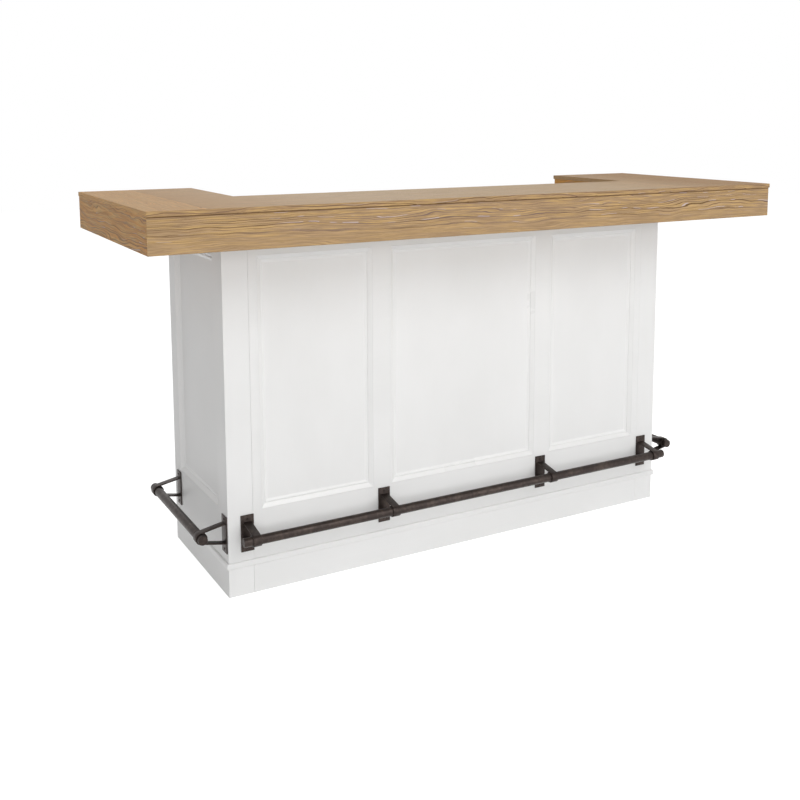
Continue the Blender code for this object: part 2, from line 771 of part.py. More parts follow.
def build_doors(knob):
    """Hang the two doors, each turning about the barrel of its continuous hinge."""
    bottom = KICK_HEIGHT + BOARD_THICKNESS + REVEAL
    top = DECK_TOP - BOARD_THICKNESS - REVEAL
    near = DIVIDER_X + REVEAL
    axis_x = INNER_X - FIT - HINGE_RADIUS
    axis_y = CARCASS_REAR + FIT + HINGE_RADIUS
    middle_z = (bottom + top) / 2
    middle_y = CARCASS_REAR - FRONT_THICKNESS / 2
    for name, side in pair("door"):
        hinge_axis = axis_empty(name + "_axis", (side * axis_x, axis_y, middle_z))
        mesh = recessed_front_mesh(name, axis_x - near, top - bottom, DOOR_STILE)
        paint(mesh, name, WHITE_PAINT)
        place(name, mesh, (side * (near - axis_x) / 2, middle_y - axis_y, 0.0), parent=hinge_axis)
        knob_x = side * (near + KNOB_FROM_EDGE - axis_x)
        knob_z = top - KNOB_BELOW_DOOR_TOP - middle_z
        knob_at = (knob_x, CARCASS_REAR + FIT - axis_y, knob_z)
        place(name + "_knob", knob, knob_at, (-pi / 2, 0.0, 0.0), parent=hinge_axis)
        door_leaf_x = side * (FIT + HINGE_LEAF_THICKNESS / 2)
        mesh = hinge_leaf_mesh(name + "_leaf", top - bottom, door_leaf_x, 1)
        paint(mesh, name + "_leaf", BRONZE)
        place(name + "_leaf", mesh, (0.0, 0.0, 0.0), parent=hinge_axis)
        body_leaf_x = side * (HINGE_RADIUS - HINGE_LEAF_SET - HINGE_LEAF_THICKNESS / 2)
        mesh = hinge_leaf_mesh(name + "_hinge", top - bottom, body_leaf_x, 0)
        paint(mesh, name + "_hinge", BRONZE)
        place(name + "_hinge", mesh, (side * axis_x, axis_y, middle_z))


def tray_mesh(name, size):
    """Return an open-topped tray with its outer size centred on the origin."""
    bm = bmesh.new()
    bm.from_mesh(box_mesh(name, size))
    face = max(bm.faces, key=lambda item: item.calc_center_median().z)
    bmesh.ops.inset_region(bm, faces=[face], thickness=DRAWER_WALL)
    bmesh.ops.inset_region(bm, faces=[face], thickness=0.0, depth=DRAWER_FLOOR - size[2])
    return mesh_from(bm, name)


def build_drawers(knob):
    """Set a drawer on each deck. It slides out along +Y."""
    near = DIVIDER_X + REVEAL
    far = INNER_X - REVEAL
    front_height = DRAWER_FRONT_HEIGHT
    front_low = DECK_TOP + REVEAL
    tray_width = INNER_X - DIVIDER_X - 2 * DRAWER_SIDE_ROOM
    joint = FRONT_THICKNESS / 4
    tray_rear = CARCASS_REAR - FRONT_THICKNESS + joint
    tray_length = tray_rear - POST_REAR - DRAWER_BACK_ROOM
    for name, side in pair("drawer"):
        middle_x = (near + far) / 2
        slide = axis_empty(name + "_slide", (side * middle_x, CARCASS_REAR, DECK_TOP))
        front = recessed_front_mesh(name + "_front", far - near, front_height, DRAWER_STILE)
        front_z = front_low + front_height / 2 - DECK_TOP
        front.transform(Matrix.Translation((0.0, -FRONT_THICKNESS / 2, front_z)))
        tray = tray_mesh(name + "_tray", (tray_width, tray_length, DRAWER_SIDE_HEIGHT))
        tray_y = tray_rear - CARCASS_REAR - tray_length / 2
        tray.transform(Matrix.Translation((0.0, tray_y, FIT + DRAWER_SIDE_HEIGHT / 2)))
        mesh = combined(front, tray, "UNION")
        mesh.name = name
        paint(mesh, name, WHITE_PAINT)
        place(name, mesh, (0.0, 0.0, 0.0), parent=slide)
        knob_at = (0.0, FIT - FIELD_RECESS, front_z)
        place(name + "_knob", knob, knob_at, (-pi / 2, 0.0, 0.0), parent=slide)


def main():
    """Build the whole counter."""
    clear_scene()
    build_plates()
    build_aprons()
    build_posts()
    build_front()
    build_sides()
    build_base_cap()
    build_foot_rail()
    build_carcass()
    knob = knob_mesh()
    paint(knob, "knob", BRONZE)
    build_doors(knob)
    build_drawers(knob)


main()
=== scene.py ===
"""Dressed bar counter: a U-shaped oak worktop on a white panelled body with a bronze foot rail.

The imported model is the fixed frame. The foot rail, its brackets, the panel mouldings, the base
cap, the knobs and the hinges are modelled here as their maker would shape them. Every other
piece keeps its shape and gets its finish. Metres, +Z up; customers stand on the -Y side.
"""

import logging
import math
from collections.abc import Callable, Iterator, Sequence
from contextlib import contextmanager
from dataclasses import dataclass, field, replace
from enum import Enum
from typing import ClassVar, NamedTuple

import bmesh
import bpy
from mathutils import Matrix, Vector


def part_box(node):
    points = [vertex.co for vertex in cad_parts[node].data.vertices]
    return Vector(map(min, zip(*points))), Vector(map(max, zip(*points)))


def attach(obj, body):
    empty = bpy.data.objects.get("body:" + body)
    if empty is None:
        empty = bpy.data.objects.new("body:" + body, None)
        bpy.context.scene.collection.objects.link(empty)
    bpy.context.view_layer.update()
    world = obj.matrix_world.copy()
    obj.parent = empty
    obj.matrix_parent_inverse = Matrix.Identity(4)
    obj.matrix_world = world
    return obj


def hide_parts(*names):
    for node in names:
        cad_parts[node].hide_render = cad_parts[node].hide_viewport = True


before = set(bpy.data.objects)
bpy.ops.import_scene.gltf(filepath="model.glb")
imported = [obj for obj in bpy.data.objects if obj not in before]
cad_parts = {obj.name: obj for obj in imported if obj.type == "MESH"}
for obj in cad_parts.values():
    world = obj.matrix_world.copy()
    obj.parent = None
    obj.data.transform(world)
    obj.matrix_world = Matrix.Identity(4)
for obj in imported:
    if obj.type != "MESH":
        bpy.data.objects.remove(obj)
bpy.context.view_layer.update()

LOG = logging.getLogger("bar_counter")
WELD = 0.00001
QUARTER = math.pi / 2
ORIGIN = (0.0, 0.0, 0.0)

Colour = tuple[float, float, float]
Triple = tuple[float, float, float]
Profile = Sequence[tuple[float, float]]
Object = bpy.types.Object
Socket = bpy.types.NodeSocket
Feed = Socket | float | tuple[float, ...]


class Part(Enum):
    """The parts of a mesh that a test can pick, by the name of their list."""

    FACE = "faces"
    EDGE = "edges"
    VERT = "verts"

    def read(self, item: bmesh.types.BMFace | bmesh.types.BMEdge | bmesh.types.BMVert) -> tuple[Vector, ...]:
        """Read where one of them is.

        Args:
            item: The face, edge or point.

        Returns:
            A face's centre and normal, an edge's two ends, or a point's place.
        """
        if self is Part.FACE:
            return item.calc_center_median(), item.normal
        if self is Part.EDGE:
            return tuple(point.co for point in item.verts)
        return (item.co,)


class Bench:
    """The hand operations that every piece is modelled with."""

    END_FACES: ClassVar[float] = 0.9
    FLAT_FACES: ClassVar[float] = 0.999

    @staticmethod
    def only(*pieces: Object) -> None:
        """Select some pieces alone and make the first one active.

        Args:
            pieces: The pieces.
        """
        bpy.ops.object.select_all(action="DESELECT")
        for piece in pieces:
            piece.select_set(True)
        bpy.context.view_layer.objects.active = pieces[0]

    @staticmethod
    def start(
        name: str, operator: Callable[..., set[str]], scale: Triple = (1.0, 1.0, 1.0), **settings: object
    ) -> Object:
        """Add a primitive to model from, and give it its place in its mesh.

        Args:
            name: The piece's name.
            operator: The operator that adds the primitive.
            scale: Its stretch along each axis.
            settings: The operator's own settings.

        Returns:
            The new piece, standing unturned and unscaled at the origin.
        """
        bpy.ops.object.select_all(action="DESELECT")
        operator(**settings)
        piece = bpy.context.object
        piece.name = name
        piece.data.name = name
        piece.scale = scale
        Bench.only(piece)
        bpy.ops.object.transform_apply(location=True, rotation=True, scale=True)
        return piece

    @staticmethod
    def block(name: str, low: Triple, high: Triple) -> Object:
        """Add a block.

        Args:
            name: The piece's name.
            low: Its lowest corner.
            high: Its highest corner.

        Returns:
            The block.
        """
        centre = [(a + b) / 2 for a, b in zip(low, high)]
        size = [b - a for a, b in zip(low, high)]
        return Bench.start(name, bpy.ops.mesh.primitive_cube_add, size, size=1.0, location=centre)

    @staticmethod
    def rod(
        name: str, radius: float, length: float, sides: int, centre: Triple = ORIGIN, turn: Triple = ORIGIN
    ) -> Object:
        """Add a round rod.

        Args:
            name: The piece's name.
            radius: Its radius.
            length: Its length.
            sides: The number of its sides.
            centre: Its middle.
            turn: Its turn from upright.

        Returns:
            The rod.
        """
        add = bpy.ops.mesh.primitive_cylinder_add
        return Bench.start(
            name, add, vertices=sides, radius=radius, depth=length, location=centre, rotation=turn
        )

    @staticmethod
    @contextmanager
    def editing(piece: Object) -> Iterator[None]:
        """Open a piece's mesh for editing, with nothing of it selected.

        Args:
            piece: The piece.

        Yields:
            Nothing: the mesh is open until the block ends.
        """
        Bench.only(piece)
        bpy.ops.object.mode_set(mode="EDIT")
        bpy.ops.mesh.select_all(action="DESELECT")
        yield
        bpy.ops.object.mode_set(mode="OBJECT")

    @staticmethod
    def pick(piece: Object, part: Part, test: Callable[..., bool]) -> None:
        """Select the parts of a mesh that pass a test.

        Args:
            piece: The piece in edit mode.
            part: Faces, edges or points.
            test: Takes a face's centre and normal, an edge's two ends, or a point's place.
        """
        bpy.ops.mesh.select_mode(type=part.name)
        drawn = bmesh.from_edit_mesh(piece.data)
        for item in getattr(drawn, part.value):
            item.select_set(test(*part.read(item)))
        drawn.select_flush_mode()
        bmesh.update_edit_mesh(piece.data)

    @staticmethod
    def close(piece: Object) -> None:
        """Weld the doubled points of a mesh and turn its faces outwards.

        Args:
            piece: The piece in edit mode.
        """
        Bench.pick(piece, Part.VERT, lambda at: True)
        bpy.ops.mesh.remove_doubles(threshold=WELD)
        bpy.ops.mesh.normals_make_consistent(inside=False)

    @staticmethod
    def plug(piece: Object, axis: int, width: float, segments: int, insets: Profile) -> None:
        """Round a rod's two ends and step each end face in and out.

        Args:
            piece: The rod.
            axis: The number of the axis that it runs along.
            width: The width of the rounding.
            segments: The number of its steps.
            insets: Pairs of how far each step goes in from the rim and how far it rises.
        """
        with Bench.editing(piece):
            Bench.pick(piece, Part.FACE, lambda centre, normal: abs(normal[axis]) > Bench.END_FACES)
            bpy.ops.mesh.bevel(offset=width, segments=segments)
            Bench.pick(piece, Part.FACE, lambda centre, normal: abs(normal[axis]) > Bench.FLAT_FACES)
            for inset, rise in insets:
                bpy.ops.mesh.inset(thickness=inset, depth=rise, use_individual=True)

    @staticmethod
    def modify(piece: Object, kind: str, **settings: object) -> None:
        """Put a modifier on a piece and apply it.

        Args:
            piece: The piece.
            kind: The modifier's type.
            settings: The modifier's own settings.
        """
        Bench.only(piece)
        modifier = piece.modifiers.new(kind.lower(), kind)
        for key, value in settings.items():
            setattr(modifier, key, value)
        bpy.ops.object.modifier_apply(modifier=modifier.name)

    @staticmethod
    def ease(piece: Object, width: float, segments: int = 2, angle: float = 40.0) -> None:
        """Round off the corners of a piece that are sharper than an angle in degrees."""
        limit = {"limit_method": "ANGLE", "angle_limit": math.radians(angle)}
        Bench.modify(piece, "BEVEL", width=width, segments=segments, **limit)

    @staticmethod
    def smooth(piece: Object, angle: float = 35.0) -> None:
        """Shade a piece smooth, except over corners sharper than an angle in degrees."""
        Bench.only(piece)
        bpy.ops.object.shade_smooth_by_angle(angle=math.radians(angle))

    @staticmethod
    def copy(piece: Object, name: str, place: Matrix) -> Object:
        """Copy a piece, with its own mesh, to a new place.

        Args:
            piece: The piece that is copied.
            name: The copy's name.
            place: The copy's place, moved into its mesh.

        Returns:
            The copy.
        """
        twin = piece.copy()
        twin.data = piece.data.copy()
        twin.name = name
        twin.data.name = name
        twin.data.transform(place)
        bpy.context.scene.collection.objects.link(twin)
        return twin

    @staticmethod
    def join(name: str, *pieces: Object) -> Object:
        """Join pieces into one.

        Args:
            name: The joined piece's name.
            pieces: The pieces, of which the first takes in the others.

        Returns:
            The joined piece.
        """
        Bench.only(*pieces)
        bpy.ops.object.join()
        pieces[0].name = name
        pieces[0].data.name = name
        return pieces[0]

    @staticmethod
    def discard(piece: Object) -> None:
        """Remove a piece that was only a pattern for copies."""
        bpy.data.objects.remove(piece, do_unlink=True)

    @staticmethod
    def turned(name: str, profile: Profile, sides: int) -> Object:
        """Raise a round piece from a disc by extruding and scaling its top face.

        Args:
            name: The piece's name.
            profile: Radii and heights from the foot upwards.
            sides: The number of its sides.

        Returns:
            The turned piece, standing along +Z.
        """
        radius, height = profile[0]
        foot = (0.0, 0.0, height)
        disc = {"vertices": sides, "radius": radius, "fill_type": "NGON", "location": foot}
        piece = Bench.start(name, bpy.ops.mesh.primitive_circle_add, **disc)
        with Bench.editing(piece):
            bpy.ops.mesh.select_mode(type="FACE")
            bpy.ops.mesh.select_all(action="SELECT")
            for next_radius, next_height in profile[1:]:
                rise = {"value": (0.0, 0.0, next_height - height)}
                bpy.ops.mesh.extrude_region_move(TRANSFORM_OT_translate=rise)
                scale = next_radius / radius
                top = (0.0, 0.0, next_height)
                bpy.ops.transform.resize(value=(scale, scale, 1.0), center_override=top)
                radius, height = next_radius, next_height
            Bench.close(piece)
        return piece


class Look(NamedTuple):
    """What a finish varies over a surface."""

    colour: Socket
    roughness: Socket
    height: Socket


class Noise(NamedTuple):
    """A noise: its waves to the metre along each axis, its finer layers and their weight.

    Where it has stops, pairs of a value and the level there, its values are mapped through them.
    """

    scale: Triple
    detail: float = 2.0
    rough: float = 0.5
    stops: Profile = ()


class Recipe:
    """Shader nodes in the making, each fed by numbers or by other nodes."""

    def __init__(self, tree: bpy.types.NodeTree) -> None:
        """Start on a node tree."""
        self.tree = tree

    def feed(self, socket: Socket, value: Feed) -> None:
        """Link a socket to another one, or set its value.

        Args:
            socket: The input socket.
            value: The other socket, or the value.
        """
        if isinstance(value, bpy.types.NodeSocket):
            self.tree.links.new(value, socket)
        else:
            socket.default_value = value

    def add(
        self, kind: str, feeds: dict[str | int, Feed] | None = None, **settings: object
    ) -> bpy.types.Node:
        """Add a node.

        Args:
            kind: The node's type.
            feeds: What its input sockets get, by name or number.
            settings: The node's own settings.

        Returns:
            The new node.
        """
        node = self.tree.nodes.new(kind)
        for key, value in settings.items():
            setattr(node, key, value)
        for key, value in (feeds or {}).items():
            self.feed(node.inputs[key], value)
        return node

    def maths(self, operation: str, *values: Feed) -> Socket:
        """Return the result of a sum on numbers or sockets."""
        return self.add("ShaderNodeMath", dict(enumerate(values)), operation=operation).outputs[0]

    def span(self, value: Socket, *ends: Feed) -> Socket:
        """Map a value from between the first two ends to between the next two, or to 0 to 1."""
        return self.add("ShaderNodeMapRange", dict(enumerate((value, *ends)))).outputs[0]

    def vector(self, x: Feed, y: Feed, z: Feed) -> Socket:
        """Return a vector made of three parts."""
        return self.add("ShaderNodeCombineXYZ", {0: x, 1: y, 2: z}).outputs[0]

    def here(self) -> dict[str, Socket]:
        """Read the object coordinates.

        Returns:
            Their three parts by the letters of their axes, and all of them together.
        """
        place = self.add("ShaderNodeTexCoord").outputs["Object"]
        parts = self.add("ShaderNodeSeparateXYZ", {0: place}).outputs
        return {"X": parts[0], "Y": parts[1], "Z": parts[2], "all": place}

    def noise(self, at: Socket, kind: Noise) -> Socket:
        """Read a noise.

        Args:
            at: The place where it is read.
            kind: The kind of noise.

        Returns:
            The noise there, about 0.5, or the level that its stops give.
        """
        stretched = self.add("ShaderNodeMapping", {"Vector": at, "Scale": kind.scale}).outputs[0]
        feeds = {"Vector": stretched, "Scale": 1.0, "Detail": kind.detail, "Roughness": kind.rough}
        level = self.add("ShaderNodeTexNoise", feeds).outputs[0]
        return self.levels(level, *kind.stops) if kind.stops else level

    def levels(self, value: Socket, *stops: tuple[float, float]) -> Socket:
        """Map a value through a curve of straight steps.

        Args:
            value: The value from 0 to 1.
            stops: Pairs of a position and the level there.

        Returns:
            The level.
        """
        node = self.add("ShaderNodeValToRGB", {0: value})
        for element, (at, level) in zip(node.color_ramp.elements, stops, strict=True):
            element.position = at
            element.color = (level, level, level, 1.0)
        return node.outputs[0]

    def blend(self, share: Feed, first: Feed, second: Feed) -> Socket:
        """Blend two colours.

        Args:
            share: The share of the second colour.
            first: The first colour.
            second: The second colour.

        Returns:
            The blend.
        """
        node = self.add("ShaderNodeMix", {0: share}, data_type="RGBA")
        for number, value in ((6, first), (7, second)):
            self.feed(node.inputs[number], (*value, 1.0) if isinstance(value, tuple) else value)
        return node.outputs[2]

    def merge(self, share: Feed, first: Look, second: Look) -> Look:
        """Blend two looks.

        Args:
            share: The share of the second look.
            first: The first look.
            second: The second look.

        Returns:
            The blend.
        """
        colour = self.blend(share, first.colour, second.colour)
        pairs = zip(first[1:], second[1:])
        return Look(colour, *(self.add("ShaderNodeMix", {0: share, 2: a, 3: b}).outputs[0] for a, b in pairs))


class MaterialRecipe(Recipe):
    """A material in the making."""

    def __init__(self, name: str) -> None:
        """Start a material that has only its surface shader.

        Args:
            name: The material's name.
        """
        self.material = bpy.data.materials.new(name)
        self.material.use_nodes = True
        super().__init__(self.material.node_tree)
        self.surface = self.tree.nodes["Principled BSDF"]
        self.output = self.tree.nodes["Material Output"]

    def finish(self, look: Look, relief: float, **constants: float) -> bpy.types.Material:
        """Feed the surface shader and return the material.

        Args:
            look: The colour, roughness and height that vary over the surface.
            relief: The depth of the height's relief.
            constants: Values of the shader that are the same all over.

        Returns:
            The finished material.
        """
        bump = self.add("ShaderNodeBump", {"Strength": 1.0, "Distance": relief, "Height": look.height})
        feeds = {"Base Color": look.colour, "Roughness": look.roughness, "Normal": bump.outputs[0]}
        feeds |= {key.replace("_", " "): value for key, value in constants.items()}
        for key, value in feeds.items():
            self.feed(self.surface.inputs[key], value)
        return self.material


class Run(Enum):
    """The axes of a board: along its grain, out of its good face, and across."""

    FRONT = ("X", "Y", "Z")
    SIDE = ("Y", "X", "Z")
    TOP = ("X", "Z", "Y")
    WING = ("Y", "Z", "X")
    UPRIGHT = ("Z", "Y", "X")


class Fade(NamedTuple):
    """How the grain's strength changes between two places across a board."""

    start: float
    end: float
    first: float
    last: float


class Line(NamedTuple):
    """A kind of dark line: the largest share of a ring that is dark, and how dark its edge is."""

    share: float
    depth: float


@dataclass(frozen=True)
class Oak:
    """Matt oak with long wavering dark lines of grain and a few limed pores.

    Attributes:
        name: The material's name.
        run: The way the board lies.
        fade: How strong the grain's lines are, and where.
        seed: A shift along the grain, so that boards differ.
        light: The wood's colour between the lines where the board is plain.
        lively: Its colour there where the grain is strong.
        ends: Its plain colour towards the counter's two ends, if it drifts along the counter.
        golden: The colour of its bright streaks.
        dark: The colour of its lines, fibres and pores.
        mauve: The colour of the lines in limed stretches.
        pale: The colour of the liming.
        ring: The spacing of the grain's fine lines.
        bold_every: How many fine lines there are to a bold one.
        limed: How much of the board has pale limed streaks.
        joint: The height of the plates' underside, up to which a painted shade darkens the apron's top edge
            for the shadow under the plate's lip, or 0 without it.
    """

    name: str
    run: Run
    fade: Fade
    seed: float
    light: Colour
    lively: Colour = (0.450, 0.290, 0.150)
    ends: Colour | None = None
    golden: Colour = (0.62, 0.405, 0.165)
    dark: Colour = (0.115, 0.060, 0.028)
    mauve: Colour = (0.185, 0.125, 0.115)
    pale: Colour = (0.56, 0.48, 0.50)
    ring: float = 0.0060
    bold_every: float = 2.7
    limed: float = 1.0
    joint: float = 0.0

    RELIEF: ClassVar[float] = 0.00012
    SPECULAR: ClassVar[float] = 0.14
    GLOSS: ClassVar[float] = 0.46
    LEAN: ClassVar[float] = 0.9
    WAVES: ClassVar[tuple[tuple[float, Noise], ...]] = (
        (0.078, Noise((1.9, 2.0, 9.0), 1.0)),
        (0.026, Noise((8.0, 9.0, 28.0), 1.0)),
        (0.0026, Noise((34.0, 50.0, 80.0), 1.0)),
    )
    PATCHES: ClassVar[Noise] = Noise((11.0, 12.0, 40.0), stops=((0.38, 0.45), (0.52, 1.0)))
    STREAKS: ClassVar[Noise] = Noise((11.0, 200.0, 200.0), 1.0)
    FIBRES: ClassVar[Noise] = Noise((9.0, 420.0, 520.0), 3.0, 0.6)
    PORES: ClassVar[Noise] = Noise((38.0, 900.0, 900.0), 1.0, stops=((0.56, 0.0), (0.68, 1.0)))
    TINTS: ClassVar[Noise] = Noise((2.3, 7.0, 19.0), 1.0)
    TINTED: ClassVar[tuple[float, float]] = (0.40, 0.54)
    DASHES: ClassVar[Noise] = Noise((20.0, 18.0, 46.0), 1.0, stops=((0.53, 0.0), (0.58, 1.0)))
    SPOTS: ClassVar[Noise] = Noise((2.4, 8.0, 15.0), 1.0, stops=((0.46, 0.0), (0.52, 1.0)))
    BRIGHT_STREAKS: ClassVar[Profile] = ((0.46, 0.0), (0.60, 1.0))
    DULL_STREAKS: ClassVar[Profile] = ((0.36, 0.10), (0.46, 0.0))
    DARK_FIBRES: ClassVar[Profile] = ((0.35, 0.34), (0.62, 0.0))
    GOLD_GAIN: ClassVar[float] = 0.50
    GOLD_LEAST: ClassVar[float] = 0.20
    THINNEST: ClassVar[tuple[float, float]] = (0.10, 0.05)
    ROUGHER: ClassVar[float] = 0.12
    LINE_HOLLOW: ClassVar[float] = 0.5
    FINE: ClassVar[Line] = Line(0.34, 0.90)
    BOLD: ClassVar[Line] = Line(0.12, 0.80)
    LIMED: ClassVar[Line] = Line(0.11, 1.0)
    LIMED_OFFSET: ClassVar[float] = 0.0020
    LINE_CORE: ClassVar[float] = 0.7
    PORE_DEPTH: ClassVar[float] = 0.22
    SHEEN_FADE_X: ClassVar[tuple[float, float]] = (0.45, 0.85)
    # How far below the plates the painted shade under the lip starts and reaches full strength, and how dark
    # it gets.
    LIP_SHADE_BELOW: ClassVar[tuple[float, float]] = (0.0034, 0.0020)
    LIP_SHADE_DEPTH: ClassVar[float] = 0.80

    def look(self, recipe: Recipe) -> Look:
        """Lay down the board's grain.

        Args:
            recipe: The material in the making.

        Returns:
            The oak's colour, roughness and height.
        """
        here = recipe.here()
        along, out, across = (here[letter] for letter in self.run.value)
        along = recipe.maths("ADD", along, self.seed)
        at = recipe.vector(along, out, across)
        place = recipe.maths("MULTIPLY_ADD", out, self.LEAN, across)
        for reach, noise in self.WAVES:
            wave = recipe.maths("SUBTRACT", recipe.noise(at, noise), 0.5)
            place = recipe.maths("MULTIPLY_ADD", wave, reach, place)
        strength = recipe.span(across, *self.fade)
        fine = self.lines(recipe, place, self.ring, self.FINE)
        fine = recipe.maths("MULTIPLY", fine, recipe.noise(at, self.PATCHES))
        bold = self.lines(recipe, place, self.ring * self.bold_every, self.BOLD)
        line = recipe.maths("MULTIPLY", recipe.maths("MAXIMUM", fine, bold), strength)
        along_grain = recipe.vector(along, out, place)
        fibre = recipe.noise(along_grain, self.FIBRES)
        pores = recipe.noise(along_grain, self.PORES)
        colour = self.wood(recipe, at, fibre, strength)
        tints = zip(self.TINTED, (0.0, self.limed))
        tint = recipe.levels(recipe.noise(at, self.TINTS), *tints)
        colour = recipe.blend(line, colour, recipe.blend(tint, self.dark, self.mauve))
        colour = recipe.blend(recipe.maths("MULTIPLY", pores, self.PORE_DEPTH), colour, self.dark)
        if self.limed:
            liming = recipe.maths("MULTIPLY", self.liming(recipe, at, place), strength)
            colour = recipe.blend(recipe.maths("MULTIPLY", liming, self.limed), colour, self.pale)
        # Painted shade: the apron darkens towards the plates' underside, in place of the shadow under the
        # plate's lip.
        if self.joint:
            seam = recipe.span(here["Z"], *(self.joint - below for below in self.LIP_SHADE_BELOW))
            colour = recipe.blend(recipe.maths("MULTIPLY", seam, self.LIP_SHADE_DEPTH), colour, self.dark)
        rough = recipe.maths("MULTIPLY_ADD", line, self.ROUGHER, self.GLOSS)
        rough = recipe.maths("MULTIPLY_ADD", fibre, self.ROUGHER, rough)
        hollow = recipe.maths("ADD", recipe.maths("MULTIPLY", line, self.LINE_HOLLOW), pores)
        return Look(colour, rough, recipe.maths("SUBTRACT", 1.0, hollow))

    def wood(self, recipe: Recipe, at: Socket, fibre: Socket, strength: Socket) -> Socket:
        """Colour the wood between the lines.

        Args:
            recipe: The material in the making.
            at: The place in the board.
            fibre: The noise of its fibres.
            strength: How strong the grain is.

        Returns:
            The colour.
        """
        plain = self.light
        # On the plates the paler middle colour is a painted sheen, the white surroundings reflected where the
        # top is seen edge-on; it fades into the ends' colour.
        if self.ends:
            share = recipe.span(recipe.maths("ABSOLUTE", recipe.here()["X"]), *self.SHEEN_FADE_X)
            plain = recipe.blend(share, self.light, self.ends)
        streak = recipe.noise(at, self.STREAKS)
        gold = recipe.maths("MULTIPLY_ADD", strength, self.GOLD_GAIN, self.GOLD_LEAST)
        bright = recipe.maths("MULTIPLY", recipe.levels(streak, *self.BRIGHT_STREAKS), gold)
        colour = recipe.blend(bright, recipe.blend(strength, plain, self.lively), self.golden)
        colour = recipe.blend(recipe.levels(fibre, *self.DARK_FIBRES), colour, self.dark)
        return recipe.blend(recipe.levels(streak, *self.DULL_STREAKS), colour, self.dark)

    def liming(self, recipe: Recipe, at: Socket, place: Socket) -> Socket:
        """Draw short limed dashes beside the bold lines.

        Args:
            recipe: The material in the making.
            at: The place in the board.
            place: The place across the wavering grain.

        Returns:
            The dashes, 1 where they are palest.
        """
        past = recipe.maths("SUBTRACT", place, self.LIMED_OFFSET)
        beside = self.lines(recipe, past, self.ring * self.bold_every, self.LIMED)
        dashes = recipe.maths("MULTIPLY", recipe.noise(at, self.DASHES), recipe.noise(at, self.SPOTS))
        return recipe.maths("MULTIPLY", dashes, beside)

    def lines(self, recipe: Recipe, place: Socket, ring: float, line: Line) -> Socket:
        """Draw the dark edge of each ring, wider where the year was a strong one.

        Args:
            recipe: The material in the making.
            place: The place across the wavering grain.
            ring: The spacing of the rings.
            line: The kind of line.

        Returns:
            The lines, 1 where they are darkest.
        """
        turns = recipe.maths("DIVIDE", place, ring)
        feeds = {"W": recipe.maths("FLOOR", turns)}
        vigour = recipe.add("ShaderNodeTexWhiteNoise", feeds, noise_dimensions="1D").outputs[0]
        width = recipe.levels(vigour, self.THINNEST, (1.0, line.share))
        core = recipe.maths("MULTIPLY", width, self.LINE_CORE)
        return recipe.span(recipe.maths("FRACT", turns), core, width, line.depth, 0.0)

    def material(self) -> bpy.types.Material:
        """Return the oak as a material."""
        recipe = MaterialRecipe(self.name)
        return recipe.finish(self.look(recipe), self.RELIEF, Specular_IOR_Level=self.SPECULAR)


@dataclass(frozen=True)
class BandedOak:
    """A wing plate: a lighter board runs along its outer edge, and the rest follows the counter.

    Attributes:
        name: The material's name.
        field: The oak of the plate.
        band: The oak of the outer board.
        seam: The X of the joint between the two.
        front: The Y of the front edge, whose veneer runs over the joint.
        seam_width: Half the width of the joint's dark line.
        seam_share: How dark that line is.
    """

    name: str
    field: Oak
    band: Oak
    seam: float
    front: float
    seam_width: float = 0.0007
    seam_share: float = 0.45

    def material(self) -> bpy.types.Material:
        """Mix the two boards and their joint.

        Returns:
            The material.
        """
        recipe = MaterialRecipe(self.name)
        here = recipe.here()
        behind = recipe.maths("GREATER_THAN", here["Y"], self.front)
        beyond = recipe.maths("MULTIPLY", recipe.maths("LESS_THAN", here["X"], self.seam), behind)
        off = recipe.maths("ABSOLUTE", recipe.maths("SUBTRACT", here["X"], self.seam))
        joint = recipe.maths("MULTIPLY", recipe.maths("LESS_THAN", off, self.seam_width), self.seam_share)
        look = recipe.merge(beyond, self.field.look(recipe), self.band.look(recipe))
        colour = recipe.blend(recipe.maths("MULTIPLY", joint, behind), look.colour, self.field.dark)
        return recipe.finish(look._replace(colour=colour), Oak.RELIEF, Specular_IOR_Level=Oak.SPECULAR)


